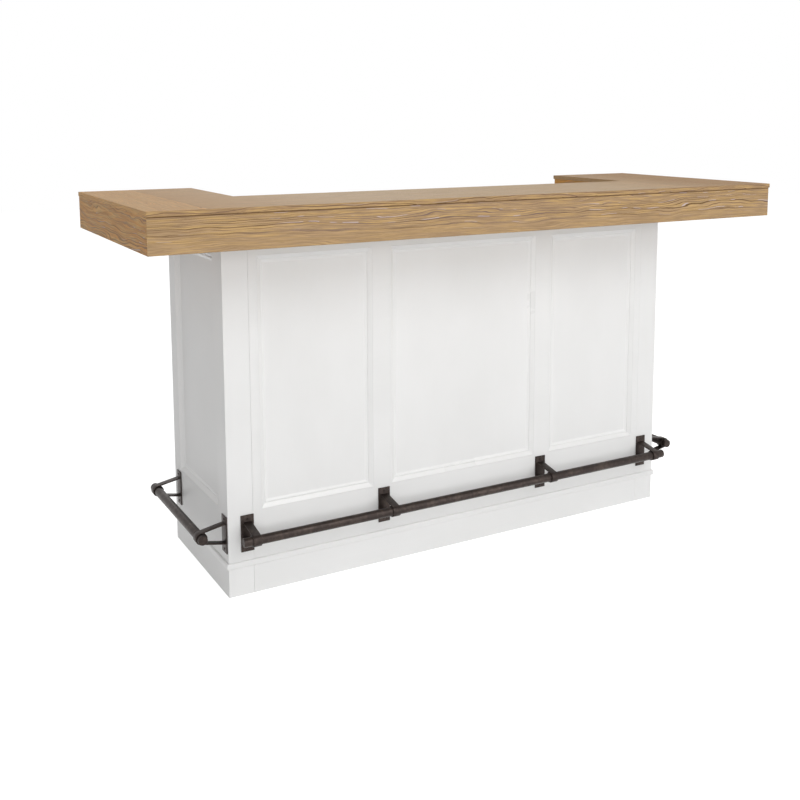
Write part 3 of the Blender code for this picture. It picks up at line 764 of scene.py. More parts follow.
@dataclass(frozen=True)
class SatinPaint:
    """White satin paint, sprayed over wood whose grain just tells.

    Attributes:
        name: The material's name.
        run: The way the wood under it lies.
        colour: The paint's colour.
        shade: The colour of its duller patches.
        gloss: The roughness where the coat lies best.
    """

    name: str
    run: Run = Run.UPRIGHT
    colour: Colour = (0.845, 0.845, 0.84)
    shade: Colour = (0.815, 0.815, 0.808)
    gloss: float = 0.40

    RELIEF: ClassVar[float] = 0.000025
    CLOUD_SHARE: ClassVar[float] = 0.88
    DULL: ClassVar[Profile] = ((0.34, 0.0), (0.66, 1.0))
    CLOUD_ROUGH: ClassVar[float] = 0.10
    GRAIN_RISE: ClassVar[float] = 0.5
    SPRAY_RISE: ClassVar[float] = 0.35
    CLOUDS: ClassVar[Noise] = Noise((3.5, 3.5, 6.0), 3.0)
    GRAIN: ClassVar[Noise] = Noise((6.0, 240.0, 240.0), 3.0, 0.55)
    SPRAY: ClassVar[Noise] = Noise((850.0, 850.0, 850.0), 1.0)

    def look(self, recipe: Recipe) -> Look:
        """Lay down the coat.

        Args:
            recipe: The material in the making.

        Returns:
            The paint's colour, roughness and height.
        """
        here = recipe.here()
        at = recipe.vector(*(here[letter] for letter in self.run.value))
        cloud, grain, spray = (recipe.noise(at, kind) for kind in (self.CLOUDS, self.GRAIN, self.SPRAY))
        clouds = recipe.maths("MULTIPLY", cloud, self.CLOUD_SHARE)
        uneven = recipe.maths("MULTIPLY_ADD", grain, 1 - self.CLOUD_SHARE, clouds)
        colour = recipe.blend(recipe.levels(uneven, *self.DULL), self.colour, self.shade)
        rough = recipe.maths("MULTIPLY_ADD", cloud, self.CLOUD_ROUGH, self.gloss)
        rise = recipe.maths("MULTIPLY", spray, self.SPRAY_RISE)
        return Look(colour, rough, recipe.maths("MULTIPLY_ADD", grain, self.GRAIN_RISE, rise))

    def material(self) -> bpy.types.Material:
        """Return the paint as a material."""
        recipe = MaterialRecipe(self.name)
        return recipe.finish(self.look(recipe), self.RELIEF)


@dataclass(frozen=True)
class DrawerFinish:
    """A drawer: white paint on its front, and bare birch on the tray behind.

    Attributes:
        name: The material's name.
        front_back: The Y of the front's inner face.
        paint: The front's paint.
        birch: The tray's wood.
    """

    name: str
    front_back: float
    paint: SatinPaint
    birch: Oak

    RELIEF: ClassVar[float] = 0.00006

    def material(self) -> bpy.types.Material:
        """Mix the paint and the birch.

        Returns:
            The material.
        """
        recipe = MaterialRecipe(self.name)
        behind = recipe.maths("LESS_THAN", recipe.here()["Y"], self.front_back)
        look = recipe.merge(behind, self.paint.look(recipe), self.birch.look(recipe))
        return recipe.finish(look, self.RELIEF)


@dataclass(frozen=True)
class Bronze:
    """Dark bronze coat on steel, rubbed a little lighter in places.

    Attributes:
        name: The material's name.
        dark: The coat's colour.
        rubbed: Its colour where it is worn.
        gloss: The roughness of a rubbed place.
    """

    name: str
    dark: Colour = (0.039, 0.030, 0.027)
    rubbed: Colour = (0.074, 0.057, 0.049)
    gloss: float = 0.30

    RELIEF: ClassVar[float] = 0.00003
    METALLIC: ClassVar[float] = 0.85
    CLOUD_SHARE: ClassVar[float] = 0.55
    WORN: ClassVar[Profile] = ((0.46, 0.0), (0.66, 1.0))
    COAT_ROUGH: ClassVar[float] = 0.10
    GRIT_ROUGH: ClassVar[float] = 0.08
    CLOUDS: ClassVar[Noise] = Noise((16.0, 16.0, 16.0), 4.0, 0.6)
    SCUFFS: ClassVar[Noise] = Noise((90.0, 90.0, 90.0), 3.0, 0.65)
    GRIT: ClassVar[Noise] = Noise((1900.0, 1900.0, 1900.0), 1.0)

    def material(self) -> bpy.types.Material:
        """Mix the coat and its rubbed places.

        Returns:
            The material.
        """
        recipe = MaterialRecipe(self.name)
        at = recipe.here()["all"]
        cloud, scuff, grit = (recipe.noise(at, kind) for kind in (self.CLOUDS, self.SCUFFS, self.GRIT))
        clouds = recipe.maths("MULTIPLY", cloud, self.CLOUD_SHARE)
        uneven = recipe.maths("MULTIPLY_ADD", scuff, 1 - self.CLOUD_SHARE, clouds)
        worn = recipe.levels(uneven, *self.WORN)
        coat = recipe.maths("SUBTRACT", 1.0, worn)
        rough = recipe.maths("MULTIPLY_ADD", coat, self.COAT_ROUGH, self.gloss)
        rough = recipe.maths("MULTIPLY_ADD", grit, self.GRIT_ROUGH, rough)
        look = Look(recipe.blend(worn, self.dark, self.rubbed), rough, grit)
        return recipe.finish(look, self.RELIEF, Metallic=self.METALLIC)


def dress(material: bpy.types.Material, *names: str) -> None:
    """Give CAD nodes a finish.

    Args:
        material: The finish.
        names: The nodes' names.
    """
    for name in names:
        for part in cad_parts[name].material_slots:
            part.material = material


def fit(piece: Object, material: bpy.types.Material, body: str, node: str) -> Object:
    """Finish a new piece and fix it to its body.

    Args:
        piece: The new piece.
        material: Its finish.
        body: The body that it rides on.
        node: The CAD node that it stands for.

    Returns:
        The piece.
    """
    piece.data.materials.clear()
    piece.data.materials.append(material)
    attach(piece, body)
    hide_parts(node)
    return piece


def middle(node: str) -> Vector:
    """Return the middle of a CAD node's box."""
    low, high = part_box(node)
    return (low + high) / 2


class Apron(NamedTuple):
    """A length of the apron: its finish's name, run, fade, seed and colour, the height of its joint with the
    plates, up to which painted shade darkens it (0 for none), and its nodes.
    """

    name: str
    run: Run
    fade: Fade
    seed: float
    light: Colour
    joint: float
    nodes: tuple[str, ...]


@dataclass
class Worktop:
    """The U of oak plates and the aprons round its edge.

    Attributes:
        seam: The X of the joint in the left wing.
        calm: The strength of the grain's lines where the boards are plain.
        band_edge: Their strength on the outer edge of the left wing.
        edge: How far in from a plate's edge the grain is strong.
        calm_share: The share of an apron's height, from below, that is plain.
        calm_blur: Half the height over which the grain gains strength there.
        side_fade: The heights over which a side apron's grain weakens.
        side_calm: The strength of its upper grain.
        plain: The wood's colour on the long aprons.
        warm: Its colour on the side aprons.
        bounce_lit: Its colour on the aprons along the wings' inner edges, brightened as painted light for the
            light that the plates throw onto them.
    """

    seam: float = -0.845
    calm: float = 0.30
    band_edge: float = 0.45
    edge: float = 0.001
    calm_share: float = 0.30
    calm_blur: float = 0.006
    side_fade: tuple[float, float] = (0.008, 0.030)
    side_calm: float = 0.75
    plain: Colour = (0.480, 0.322, 0.174)
    warm: Colour = (0.60, 0.295, 0.078)
    # Brighter than the plain colour: painted light for what the plates reflect onto the inner aprons.
    bounce_lit: Colour = (0.90, 0.44, 0.11)

    def build(self) -> list[Object]:
        """Dress the plates and the aprons.

        Returns:
            No new pieces: the plates and aprons keep their shape.
        """
        self.dress_plates()
        self.dress_aprons()
        return []

    def dress_plates(self) -> None:
        """Lay the centre plate and the two wings, the left one with its band."""
        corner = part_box("top_left")[0]
        front = Fade(corner.y + self.edge, corner.y + 2 * self.edge, 1.0, self.calm)
        side = Fade(corner.x + self.edge, corner.x + 2 * self.edge, self.band_edge, self.calm)
        # The centre colour is paled by a painted sheen; the ends' colour, towards the wings, has less of it.
        light, ends = (0.85, 0.63, 0.405), (0.625, 0.335, 0.110)
        plate = Oak("oak_counter", Run.TOP, front, 0.4, light, ends=ends, limed=0.4)
        band = Oak("oak_band", Run.WING, side, 2.3, (0.735, 0.415, 0.140), (0.60, 0.30, 0.085), limed=0.3)
        right = replace(plate, name="oak_wing_right", ends=(0.455, 0.225, 0.065))
        left = BandedOak("oak_wing_left", plate, band, self.seam, corner.y + self.edge)
        dress(plate.material(), "top_centre")
        dress(right.material(), "top_right")
        dress(left.material(), "top_left")

    def dress_aprons(self) -> None:
        """Veneer the aprons, each pair from its own stretch of oak."""
        low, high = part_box("apron_front")
        calm_top = low.z + (high.z - low.z) * self.calm_share
        rise = Fade(calm_top - self.calm_blur, calm_top + self.calm_blur, self.calm, 1.0)
        fall = Fade(*(low.z + height for height in self.side_fade), 1.0, self.side_calm)
        aprons = (
            # The front apron gets painted shade up to the plates' underside, for the shadow under the plate's
            # lip.
            Apron("front", Run.FRONT, rise, 1.7, self.plain, high.z, ("apron_front",)),
            Apron("left", Run.SIDE, fall, 5.1, self.warm, 0.0, ("apron_left",)),
            Apron("right", Run.SIDE, fall, 8.2, self.warm, 0.0, ("apron_right",)),
            Apron("rear", Run.FRONT, rise, 3.9, self.plain, 0.0, ("apron_rear_left", "apron_rear_right")),
            Apron("inner", Run.FRONT, rise, 6.3, self.plain, 0.0, ("apron_inner_centre",)),
            Apron("inner_left", Run.SIDE, fall, 4.4, self.bounce_lit, 0.0, ("apron_inner_left",)),
            Apron("inner_right", Run.SIDE, fall, 9.6, self.bounce_lit, 0.0, ("apron_inner_right",)),
        )
        for name, run, fade, seed, light, joint, nodes in aprons:
            oak = Oak("oak_" + name, run, fade, seed, light, light, joint=joint)
            dress(oak.material(), *nodes)


@dataclass
class PanelledBody:
    """The white front and sides, with a moulding round each panel and a cap along the base.

    Attributes:
        slope_width: The width of the moulding's outer slope.
        slope_drop: How far the slope falls on the front.
        side_drop: How far it falls on the two sides, where it is steeper.
        slope_ease: The rounding of the slope's two edges.
        bead_start: The share of its height at which the bead leaves the slope.
        bead_rise: The width of the moulding's bead up to its top.
        bead_fall: The width over which it sinks to the panel.
        bead_height: The height of the bead.
        bead_steps: The number of steps over each half of the bead.
        recess: How deep the panels lie.
        gap: The fitting gap round a piece.
        cap_projection: How far the base cap stands out.
        cap_round: The rounding of its two long corners.
        cap_steps: The number of steps of that rounding.
    """

    slope_width: float = 0.012
    slope_drop: float = 0.0065
    side_drop: float = 0.0095
    slope_ease: float = 0.0004
    bead_start: float = 0.7
    bead_rise: float = 0.0022
    bead_fall: float = 0.0090
    bead_height: float = 0.0034
    bead_steps: int = 8
    recess: float = 0.011
    gap: float = 0.0003
    cap_projection: float = 0.0055
    cap_round: float = 0.0045
    cap_steps: int = 6

    FACING: ClassVar[dict[str, Matrix]] = {
        "front": Matrix.Rotation(QUARTER, 4, "X"),
        "left": Matrix.Rotation(-QUARTER, 4, "Z") @ Matrix.Rotation(QUARTER, 4, "X"),
        "right": Matrix.Rotation(QUARTER, 4, "Z") @ Matrix.Rotation(QUARTER, 4, "X"),
    }

    def section(self, drop: float) -> list[tuple[float, float]]:
        """Return the section of a panel moulding.

        Args:
            drop: How far its slope falls.

        Returns:
            Insets from the opening's edge and heights above the frame's face.
        """
        base = -self.recess
        step = self.gap + self.slope_width
        ease = self.slope_ease
        points = [(self.gap, base), (self.gap, -ease), (self.gap + ease, -ease / 4)]
        points += [(step - ease, -drop), (step, -drop - ease)]
        first = math.asin(self.bead_start)
        top = step + self.bead_rise * math.cos(first)
        for count in range(self.bead_steps + 1):
            angle = first + (QUARTER - first) * count / self.bead_steps
            lift = self.bead_height * math.sin(angle)
            points.append((top - self.bead_rise * math.cos(angle), base + lift))
        for count in range(1, self.bead_steps + 1):
            share = count / self.bead_steps
            lift = self.bead_height * (1 + math.cos(math.pi * share)) / 2
            points.append((top + self.bead_fall * share, base + lift))
        return points

    def moulding(self, name: str, width: float, height: float, drop: float) -> Object:
        """Carry the moulding's section round a rectangle, mitred at its corners.

        Args:
            name: The piece's name.
            width: The opening's width.
            height: The opening's height.
            drop: How far its slope falls.

        Returns:
            The moulding, flat in the XY plane with +Z outwards.
        """
        piece = Bench.start(name, bpy.ops.mesh.primitive_plane_add, (width, height, 1.0), size=1.0)
        section = self.section(drop)
        inset, lift = 0.0, 0.0
        with Bench.editing(piece):
            bpy.ops.mesh.select_all(action="SELECT")
            bpy.ops.mesh.delete(type="ONLY_FACE")
            Bench.pick(piece, Part.EDGE, lambda a, b: True)
            for count, (next_inset, next_lift) in enumerate(section + section[:1]):
                move = (0.0, 0.0, next_lift - lift)
                if count:
                    bpy.ops.mesh.extrude_edges_move(TRANSFORM_OT_translate={"value": move})
                else:
                    bpy.ops.transform.translate(value=move)
                scale = [(size - 2 * next_inset) / (size - 2 * inset) for size in (width, height)]
                bpy.ops.transform.resize(value=(*scale, 1.0), center_override=ORIGIN)
                inset, lift = next_inset, next_lift
            Bench.close(piece)
        Bench.smooth(piece)
        return piece

    def cap(self, name: str, length: float, height: float, low_mitre: int, high_mitre: int) -> Object:
        """Model a length of the base cap along X, with its back at Y = 0 and its face at -Y.

        Args:
            name: The piece's name.
            length: Its length at the back.
            height: Its height.
            low_mitre: 1 where its low end is mitred, or 0.
            high_mitre: 1 where its high end is mitred, or 0.

        Returns:
            The cap moulding.
        """
        half = length / 2
        face = -self.cap_projection
        piece = Bench.block(name, (-half, face, 0.0), (half, -self.gap, height))
        with Bench.editing(piece):
            for mitre, side in ((low_mitre, -1), (high_mitre, 1)):
                for edge, reach in ((-1, self.cap_projection), (1, self.gap)):
                    Bench.pick(
                        piece, Part.VERT, lambda at: at.x * side > 0 and (at.y - face / 2) * edge > 0
                    )
                    bpy.ops.transform.translate(value=(side * mitre * reach, 0.0, 0.0))
            Bench.pick(
                piece, Part.EDGE, lambda a, b: max(a.y, b.y) < face / 2 and abs(a.z - b.z) < WELD
            )
            bpy.ops.mesh.bevel(offset=self.cap_round, segments=self.cap_steps, profile=0.5)
            Bench.close(piece)
        Bench.smooth(piece, 50.0)
        return piece

    def build(self) -> list[Object]:
        """Dress the body and put on its mouldings.

        Returns:
            The new mouldings.
        """
        upright = SatinPaint("paint_upright").material()
        for kind in ("post", "side_frame", "side_panel", "front_panel"):
            dress(upright, kind + "_left", kind + "_right")
        dress(upright, "front_panel_centre")
        dress(SatinPaint("paint_level", Run.FRONT).material(), "front_frame")
        # The mouldings' and caps' paint is a lighter copy of the body's white: a painted highlight for the
        # light their slopes catch.
        brightened_trim = SatinPaint("paint_trim", Run.FRONT, (0.865, 0.865, 0.86), (0.85, 0.85, 0.845), 0.24)
        finish = brightened_trim.material()
        return self.build_mouldings(finish) + self.build_caps(finish)

    def build_mouldings(self, finish: bpy.types.Material) -> list[Object]:
        """Set a moulding round each panel.

        Args:
            finish: Their finish.

        Returns:
            The five panel mouldings.
        """
        pieces = []
        patterns = (
            ("front_moulding", "front", ("left", "right")),
            ("front_moulding", "centre", ("centre",)),
            ("side_moulding", "side", ("left", "right")),
        )
        for stem, kind, places in patterns:
            on_side = kind == "side"
            low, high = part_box(f"{stem}_{places[0]}")
            width = high.y - low.y if on_side else high.x - low.x
            size = (width + 2 * self.gap, high.z - low.z + 2 * self.gap)
            pattern = self.moulding("moulding_" + kind, *size, self.side_drop if on_side else self.slope_drop)
            for name in places:
                node = f"{stem}_{name}"
                low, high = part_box(node)
                centre = middle(node)
                if on_side:
                    centre.x = low.x if name == "left" else high.x
                else:
                    centre.y = low.y
                place = Matrix.Translation(centre) @ self.FACING[name if on_side else "front"]
                piece = Bench.copy(pattern, node + "_beaded", place)
                pieces.append(fit(piece, finish, "counter", node))
            Bench.discard(pattern)
        return pieces

    def build_caps(self, finish: bpy.types.Material) -> list[Object]:
        """Plant the three lengths of the base cap.

        Args:
            finish: Their finish.

        Returns:
            The three cap mouldings.
        """
        pieces = []
        body_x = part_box("post_right")[1].x
        body_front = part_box("post_right")[0].y
        low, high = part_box("cap_front")
        height = high.z - low.z
        front = self.cap("cap_front_rounded", 2 * body_x - self.gap, height, 1, 1)
        front.data.transform(Matrix.Translation((0.0, body_front, low.z)))
        pieces.append(fit(front, finish, "counter", "cap_front"))
        for name, side, mitres in (("left", -1, (0, 1)), ("right", 1, (1, 0))):
            low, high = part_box("cap_" + name)
            length = high.y - body_front - self.gap
            piece = self.cap("cap_" + name + "_rounded", length, height, *mitres)
            place = Matrix.Translation((side * body_x, high.y - length / 2, low.z))
            piece.data.transform(place @ Matrix.Rotation(side * QUARTER, 4, "Z"))
            pieces.append(fit(piece, finish, "counter", "cap_" + name))
        return pieces


@dataclass
class FootRail:
    """The bronze rail round three sides, on bent strap brackets with screwed feet.

    Attributes:
        radius: The rail's radius.
        standoff: How far the rail's middle stands from the body.
        height: The height of its middle.
        end_round: The rounding of its ends.
        end_steps: The number of steps of that rounding.
        plugs: The steps in and out on its end faces, as insets and rises.
        sides: The number of sides of the rail.
        foot_width: The width of a bracket's foot.
        foot_height: The height of the foot.
        foot_drop: How far the foot reaches below the rail's middle.
        foot_thickness: The thickness of the foot.
        foot_round: The rounding of its edges.
        strap_width: The width of the bent strap.
        strap_thickness: The thickness of the strap.
        strap_spread: How far above and below the rail the strap meets the foot.
        strap_round: The rounding of its edges.
        strap_start: The share of the foot's thickness at which the strap begins.
        screw_spread: How far above and below the foot's middle its screws sit.
        screw_turns: The turns of the two screws.
        screw_radius: The radius of a screw's head.
        screw_height: The height of a screw's head.
        screw_sink: How far the head reaches into the metal.
        gap: The gap between the foot and the body.
        bronze: The finish of all of it.
    """

    radius: float = 0.0127
    standoff: float = 0.068
    height: float = 0.1755
    end_round: float = 0.0016
    end_steps: int = 5
    plugs: Profile = ((0.0006, 0.0), (0.0002, -0.0003), (0.0002, 0.0002))
    sides: int = 72
    foot_width: float = 0.0366
    foot_height: float = 0.1016
    foot_drop: float = 0.0539
    foot_thickness: float = 0.003
    foot_round: float = 0.0007
    strap_width: float = 0.0226
    strap_thickness: float = 0.003
    strap_spread: float = 0.029
    strap_round: float = 0.0005
    strap_start: float = 0.6
    screw_spread: float = 0.0415
    screw_turns: tuple[float, float] = (0.4, 1.1)
    screw_radius: float = 0.0042
    screw_height: float = 0.0015
    screw_sink: float = 0.0005
    gap: float = 0.0003
    bronze: Bronze = field(default_factory=lambda: Bronze("bronze_rail"))

    FOOT_STEPS: ClassVar[int] = 3
    STRAP_STEPS: ClassVar[int] = 2
    SCREW_SIDES: ClassVar[int] = 24
    SCREW_DOME: ClassVar[Profile] = ((1.0, 0.30), (0.93, 0.62), (0.78, 0.86), (0.52, 0.98), (0.20, 1.0))
    CROSS_REACH: ClassVar[float] = 0.55
    CROSS_WIDTH: ClassVar[float] = 0.11
    CROSS_BOTTOM: ClassVar[float] = 0.3
    STUB: ClassVar[float] = 0.001
    LONG_EDGE: ClassVar[float] = 0.01

    def rail(self, name: str, node: str, axis: int) -> Object:
        """Model a rail in the place of a CAD rail, with its ends rounded and closed by plugs.

        Args:
            name: The piece's name.
            node: The CAD rail.
            axis: The number of the axis that it runs along.

        Returns:
            The rail.
        """
        low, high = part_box(node)
        turn = (QUARTER, 0.0, 0.0) if axis else (0.0, QUARTER, 0.0)
        piece = Bench.rod(name, self.radius, high[axis] - low[axis], self.sides, tuple(middle(node)), turn)
        Bench.plug(piece, axis, self.end_round, self.end_steps, self.plugs)
        Bench.smooth(piece, 40.0)
        return piece

    def screw(self) -> Object:
        """Model a domed screw head with a cross recess.

        Returns:
            The head, standing on the YZ plane towards +X.
        """
        radius, top = self.screw_radius, self.screw_height
        dome = [(radius * wide, top * high) for wide, high in self.SCREW_DOME]
        head = Bench.turned("screw", [(radius, -self.screw_sink), *dome], self.SCREW_SIDES)
        half, narrow, bottom = radius * self.CROSS_REACH, radius * self.CROSS_WIDTH, top * self.CROSS_BOTTOM
        for turn in (0.0, QUARTER):
            slot = Bench.block("slot", (-half, -narrow, bottom), (half, narrow, 2 * top))
            slot.data.transform(Matrix.Rotation(turn, 4, "Z"))
            Bench.modify(head, "BOOLEAN", operation="DIFFERENCE", object=slot)
            Bench.discard(slot)
        head.data.transform(Matrix.Rotation(QUARTER, 4, "Y"))
        Bench.smooth(head, 50.0)
        return head

    def arm(self, name: str, side: int) -> Object:
        """Model one arm of the strap, from the foot to where it meets the collar.

        Args:
            name: The piece's name.
            side: 1 for the upper arm, -1 for the lower one.

        Returns:
            The arm, with its foot in the YZ plane at the body's face.
        """
        collar = self.radius + self.gap + self.strap_thickness / 2
        foot_x = self.gap + self.foot_thickness * self.strap_start
        reach = self.standoff - foot_x
        spread = self.strap_spread - self.strap_thickness / 2
        tangent = math.pi - math.atan2(spread, reach) - math.acos(collar / math.hypot(reach, spread))
        end_x, end_z = self.standoff + collar * math.cos(tangent), collar * math.sin(tangent)
        half, stub = self.strap_width / 2, self.STUB
        size = (2 * stub, 2 * half, 1.0)
        piece = Bench.start(name, bpy.ops.mesh.primitive_plane_add, size, size=1.0)
        with Bench.editing(piece):
            Bench.pick(piece, Part.VERT, lambda at: at.x < 0)
            bpy.ops.transform.translate(value=(foot_x + stub, 0.0, spread))
            Bench.pick(piece, Part.VERT, lambda at: abs(at.z) < WELD)
            bpy.ops.transform.translate(value=(end_x - stub, 0.0, end_z))
        piece.data.transform(Matrix.Diagonal((1.0, 1.0, side, 1.0)))
        Bench.modify(piece, "SOLIDIFY", thickness=self.strap_thickness, offset=0.0)
        with Bench.editing(piece):
            Bench.close(piece)
            rims = [half, -half]
            Bench.pick(
                piece,
                Part.EDGE,
                lambda a, b: abs(a.x - b.x) > self.LONG_EDGE
                and any(max(abs(a.y - rim), abs(b.y - rim)) < WELD for rim in rims),
            )
            bpy.ops.mesh.bevel(offset=self.strap_round, segments=self.STRAP_STEPS)
        return piece

    def collar(self, name: str) -> Object:
        """Model the strap's collar round the rail.

        Args:
            name: The piece's name.

        Returns:
            The collar, round the rail's middle line along Y.
        """
        piece = Bench.start(
            name,
            bpy.ops.mesh.primitive_cylinder_add,
            vertices=self.sides,
            radius=self.radius + self.gap + self.strap_thickness / 2,
            depth=self.strap_width,
            end_fill_type="NOTHING",
            location=(self.standoff, 0.0, 0.0),
            rotation=(QUARTER, 0.0, 0.0),
        )
        Bench.modify(piece, "SOLIDIFY", thickness=self.strap_thickness, offset=0.0, use_even_offset=True)
        with Bench.editing(piece):
            Bench.close(piece)
        Bench.ease(piece, self.strap_round, self.STRAP_STEPS)
        return piece

    def bracket(self) -> Object:
        """Model a bracket: foot, two arms, collar and two screws.

        Returns:
            The bracket on the body's face in the YZ plane, with its rail along Y at Z = 0.
        """
        low = (self.gap, -self.foot_width / 2, -self.foot_drop)
        high = (self.gap + self.foot_thickness, self.foot_width / 2, self.foot_height - self.foot_drop)
        foot = Bench.block("foot", low, high)
        Bench.ease(foot, self.foot_round, self.FOOT_STEPS)
        parts = [foot, self.collar("collar"), self.arm("arm_upper", 1), self.arm("arm_lower", -1)]
        foot_middle = self.foot_height / 2 - self.foot_drop
        pattern = self.screw()
        for side, turn in zip((-1, 1), self.screw_turns):
            at = (high[0], 0.0, foot_middle + side * self.screw_spread)
            place = Matrix.Translation(at) @ Matrix.Rotation(turn, 4, "X")
            parts.append(Bench.copy(pattern, "bracket_screw", place))
        Bench.discard(pattern)
        piece = Bench.join("bracket", *parts)
        Bench.smooth(piece)
        return piece

    def build(self) -> list[Object]:
        """Model the rails and set a bracket at each CAD bracket.

        Returns:
            The rails and the brackets.
        """
        finish = self.bronze.material()
        pieces = []
        for name, axis in (("front", 0), ("left", 1), ("right", 1)):
            rail = self.rail("foot_rail_" + name, "rail_" + name, axis)
            pieces.append(fit(rail, finish, "counter", "rail_" + name))
        pattern = self.bracket()
        for key, turn, number in (("front", -QUARTER, 4), ("left", math.pi, 2), ("right", 0.0, 2)):
            for count in range(1, number + 1):
                node = f"bracket_{key}_{count}"
                low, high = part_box(node)
                centre = middle(node)
                face = {
                    "front": (centre.x, high.y + self.gap, self.height),
                    "left": (high.x + self.gap, centre.y, self.height),
                    "right": (low.x - self.gap, centre.y, self.height),
                }[key]
                place = Matrix.Translation(face) @ Matrix.Rotation(turn, 4, "Z")
                piece = Bench.copy(pattern, f"strap_bracket_{key}_{count}", place)
                pieces.append(fit(piece, finish, "counter", node))
        Bench.discard(pattern)
        return pieces


@dataclass
class ServerSide:
    """The boards, doors, drawers, knobs and hinges on the server's side.

    Attributes:
        knob_length: How far a knob stands out.
        knob_radius: The radius of its head.
        knob_sides: The number of its sides.
        knob_foot: The radii and heights of its foot and neck.
        knob_steps: The number of steps of its head.
        knob_arc: Where the head's arc starts and how far it runs, in half turns.
        hinge_radius: The radius of a hinge's barrel.
        hinge_sides: The number of its sides.
        hinge_round: The rounding of a knuckle's ends.
        hinge_steps: The number of steps of that rounding.
        hinge_knuckles: The number of its knuckles.
        pin_steps: The steps round the pin on a knuckle's ends, as insets and rises.
        leaf_width: The width of a hinge leaf, from the barrel's axis.
        leaf_thickness: The thickness of a leaf.
        leaf_clearance: The room between a leaf and the other leaf's knuckles.
        leaf_set: How far the frame's leaf lies inside the barrel's side.
        leaf_screws: The number of screws through a leaf.
        leaf_screws_out: The share of the leaf's width at which they sit.
        leaf_screw: The radius and height of their heads.
        front_thickness: The thickness of a drawer's front.
        gap: The fitting gap.
    """

    knob_length: float = 0.022
    knob_radius: float = 0.014
    knob_sides: int = 48
    knob_foot: Profile = (
        (0.0080, 0.0),
        (0.0080, 0.0014),
        (0.0076, 0.0020),
        (0.0058, 0.0030),
        (0.0049, 0.0050),
        (0.0048, 0.0075),
        (0.0056, 0.0100),
    )
    knob_steps: int = 14
    knob_arc: tuple[float, float] = (0.16, 0.82)
    hinge_radius: float = 0.0035
    hinge_sides: int = 28
    hinge_round: float = 0.0003
    hinge_steps: int = 2
    hinge_knuckles: int = 22
    pin_steps: Profile = ((0.0012, 0.0), (0.0001, -0.0002))
    leaf_width: float = 0.022
    leaf_thickness: float = 0.0012
    leaf_clearance: float = 0.0005
    leaf_set: float = 0.0002
    leaf_screws: int = 6
    leaf_screws_out: float = 0.62
    leaf_screw: tuple[float, float] = (0.0028, 0.0003)
    front_thickness: float = 0.0189
    gap: float = 0.0003

    def knob(self) -> Object:
        """Model a knob.

        Returns:
            The knob, standing along +Z on its foot.
        """
        head = self.knob_length / 4
        profile = list(self.knob_foot)
        start, reach = self.knob_arc
        for count in range(1, self.knob_steps + 1):
            angle = -QUARTER + math.pi * (start + reach * count / self.knob_steps)
            height = self.knob_length - head + head * math.sin(angle)
            profile.append((self.knob_radius * math.cos(angle), height))
        profile[-1] = (profile[-1][0], self.knob_length)
        piece = Bench.turned("knob", profile, self.knob_sides)
        Bench.smooth(piece, 50.0)
        return piece

    def leaf(self, name: str, leaf_x: float, length: float, first: int, screw: Object) -> Object:
        """Model one leaf of a continuous hinge with every second knuckle of its barrel.

        Args:
            name: The piece's name.
            leaf_x: The X of the leaf's middle, with the barrel's axis at 0.
            length: The hinge's length.
            first: 0 if the lowest knuckle is on this leaf, 1 if it is on the other.
            screw: The screw head that is copied, towards +X.

        Returns:
            The leaf, along Z about the origin, running from the barrel towards -Y.
        """
        pitch = length / self.hinge_knuckles
        half = self.leaf_thickness / 2
        inner = -self.hinge_radius - self.leaf_clearance
        low = (leaf_x - half, -self.leaf_width, -length / 2)
        parts = [Bench.block("plate", low, (leaf_x + half, inner, length / 2))]
        knuckle = Bench.rod("knuckle", self.hinge_radius, pitch - self.gap, self.hinge_sides)
        Bench.plug(knuckle, 2, self.hinge_round, self.hinge_steps, self.pin_steps)
        reach = pitch / 2 - self.gap
        tab = Bench.block("tab", (leaf_x - half, inner, -reach), (leaf_x + half, 0.0, reach))
        for count in range(first, self.hinge_knuckles, 2):
            place = Matrix.Translation((0.0, 0.0, -length / 2 + (count + 0.5) * pitch))
            parts += [Bench.copy(knuckle, "knuckle_copy", place), Bench.copy(tab, "tab_copy", place)]
        side = -1 if (leaf_x > 0) == (first == 0) else 1
        turn = Matrix.Rotation(0.0 if side > 0 else math.pi, 4, "Z")
        for count in range(self.leaf_screws):
            z = length * ((count + 0.5) / self.leaf_screws - 0.5)
            at = (leaf_x + side * half, -self.leaf_width * self.leaf_screws_out, z)
            parts.append(Bench.copy(screw, "leaf_screw", Matrix.Translation(at) @ turn))
        Bench.discard(knuckle)
        Bench.discard(tab)
        piece = Bench.join(name, *parts)
        Bench.smooth(piece)
        return piece

    def build(self) -> list[Object]:
        """Dress the server's side and fit its knobs and hinges.

        Returns:
            The knobs and the hinge leaves.
        """
        self.dress_boards()
        finish = Bronze("bronze_fittings", gloss=0.26).material()
        return self.build_knobs(finish) + self.build_hinges(finish)

    def build_knobs(self, finish: bpy.types.Material) -> list[Object]:
        """Set a knob on each door and drawer.

        Args:
            finish: Their finish.

        Returns:
            The four knobs.
        """
        pieces = []
        pattern = self.knob()
        standing = Matrix.Rotation(-QUARTER, 4, "X")
        for body in ("door_left", "door_right", "drawer_left", "drawer_right"):
            node = body + "_knob"
            foot = middle(node)
            foot.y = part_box(node)[0].y
            piece = Bench.copy(pattern, body + "_turned_knob", Matrix.Translation(foot) @ standing)
            pieces.append(fit(piece, finish, body, node))
        Bench.discard(pattern)
        return pieces

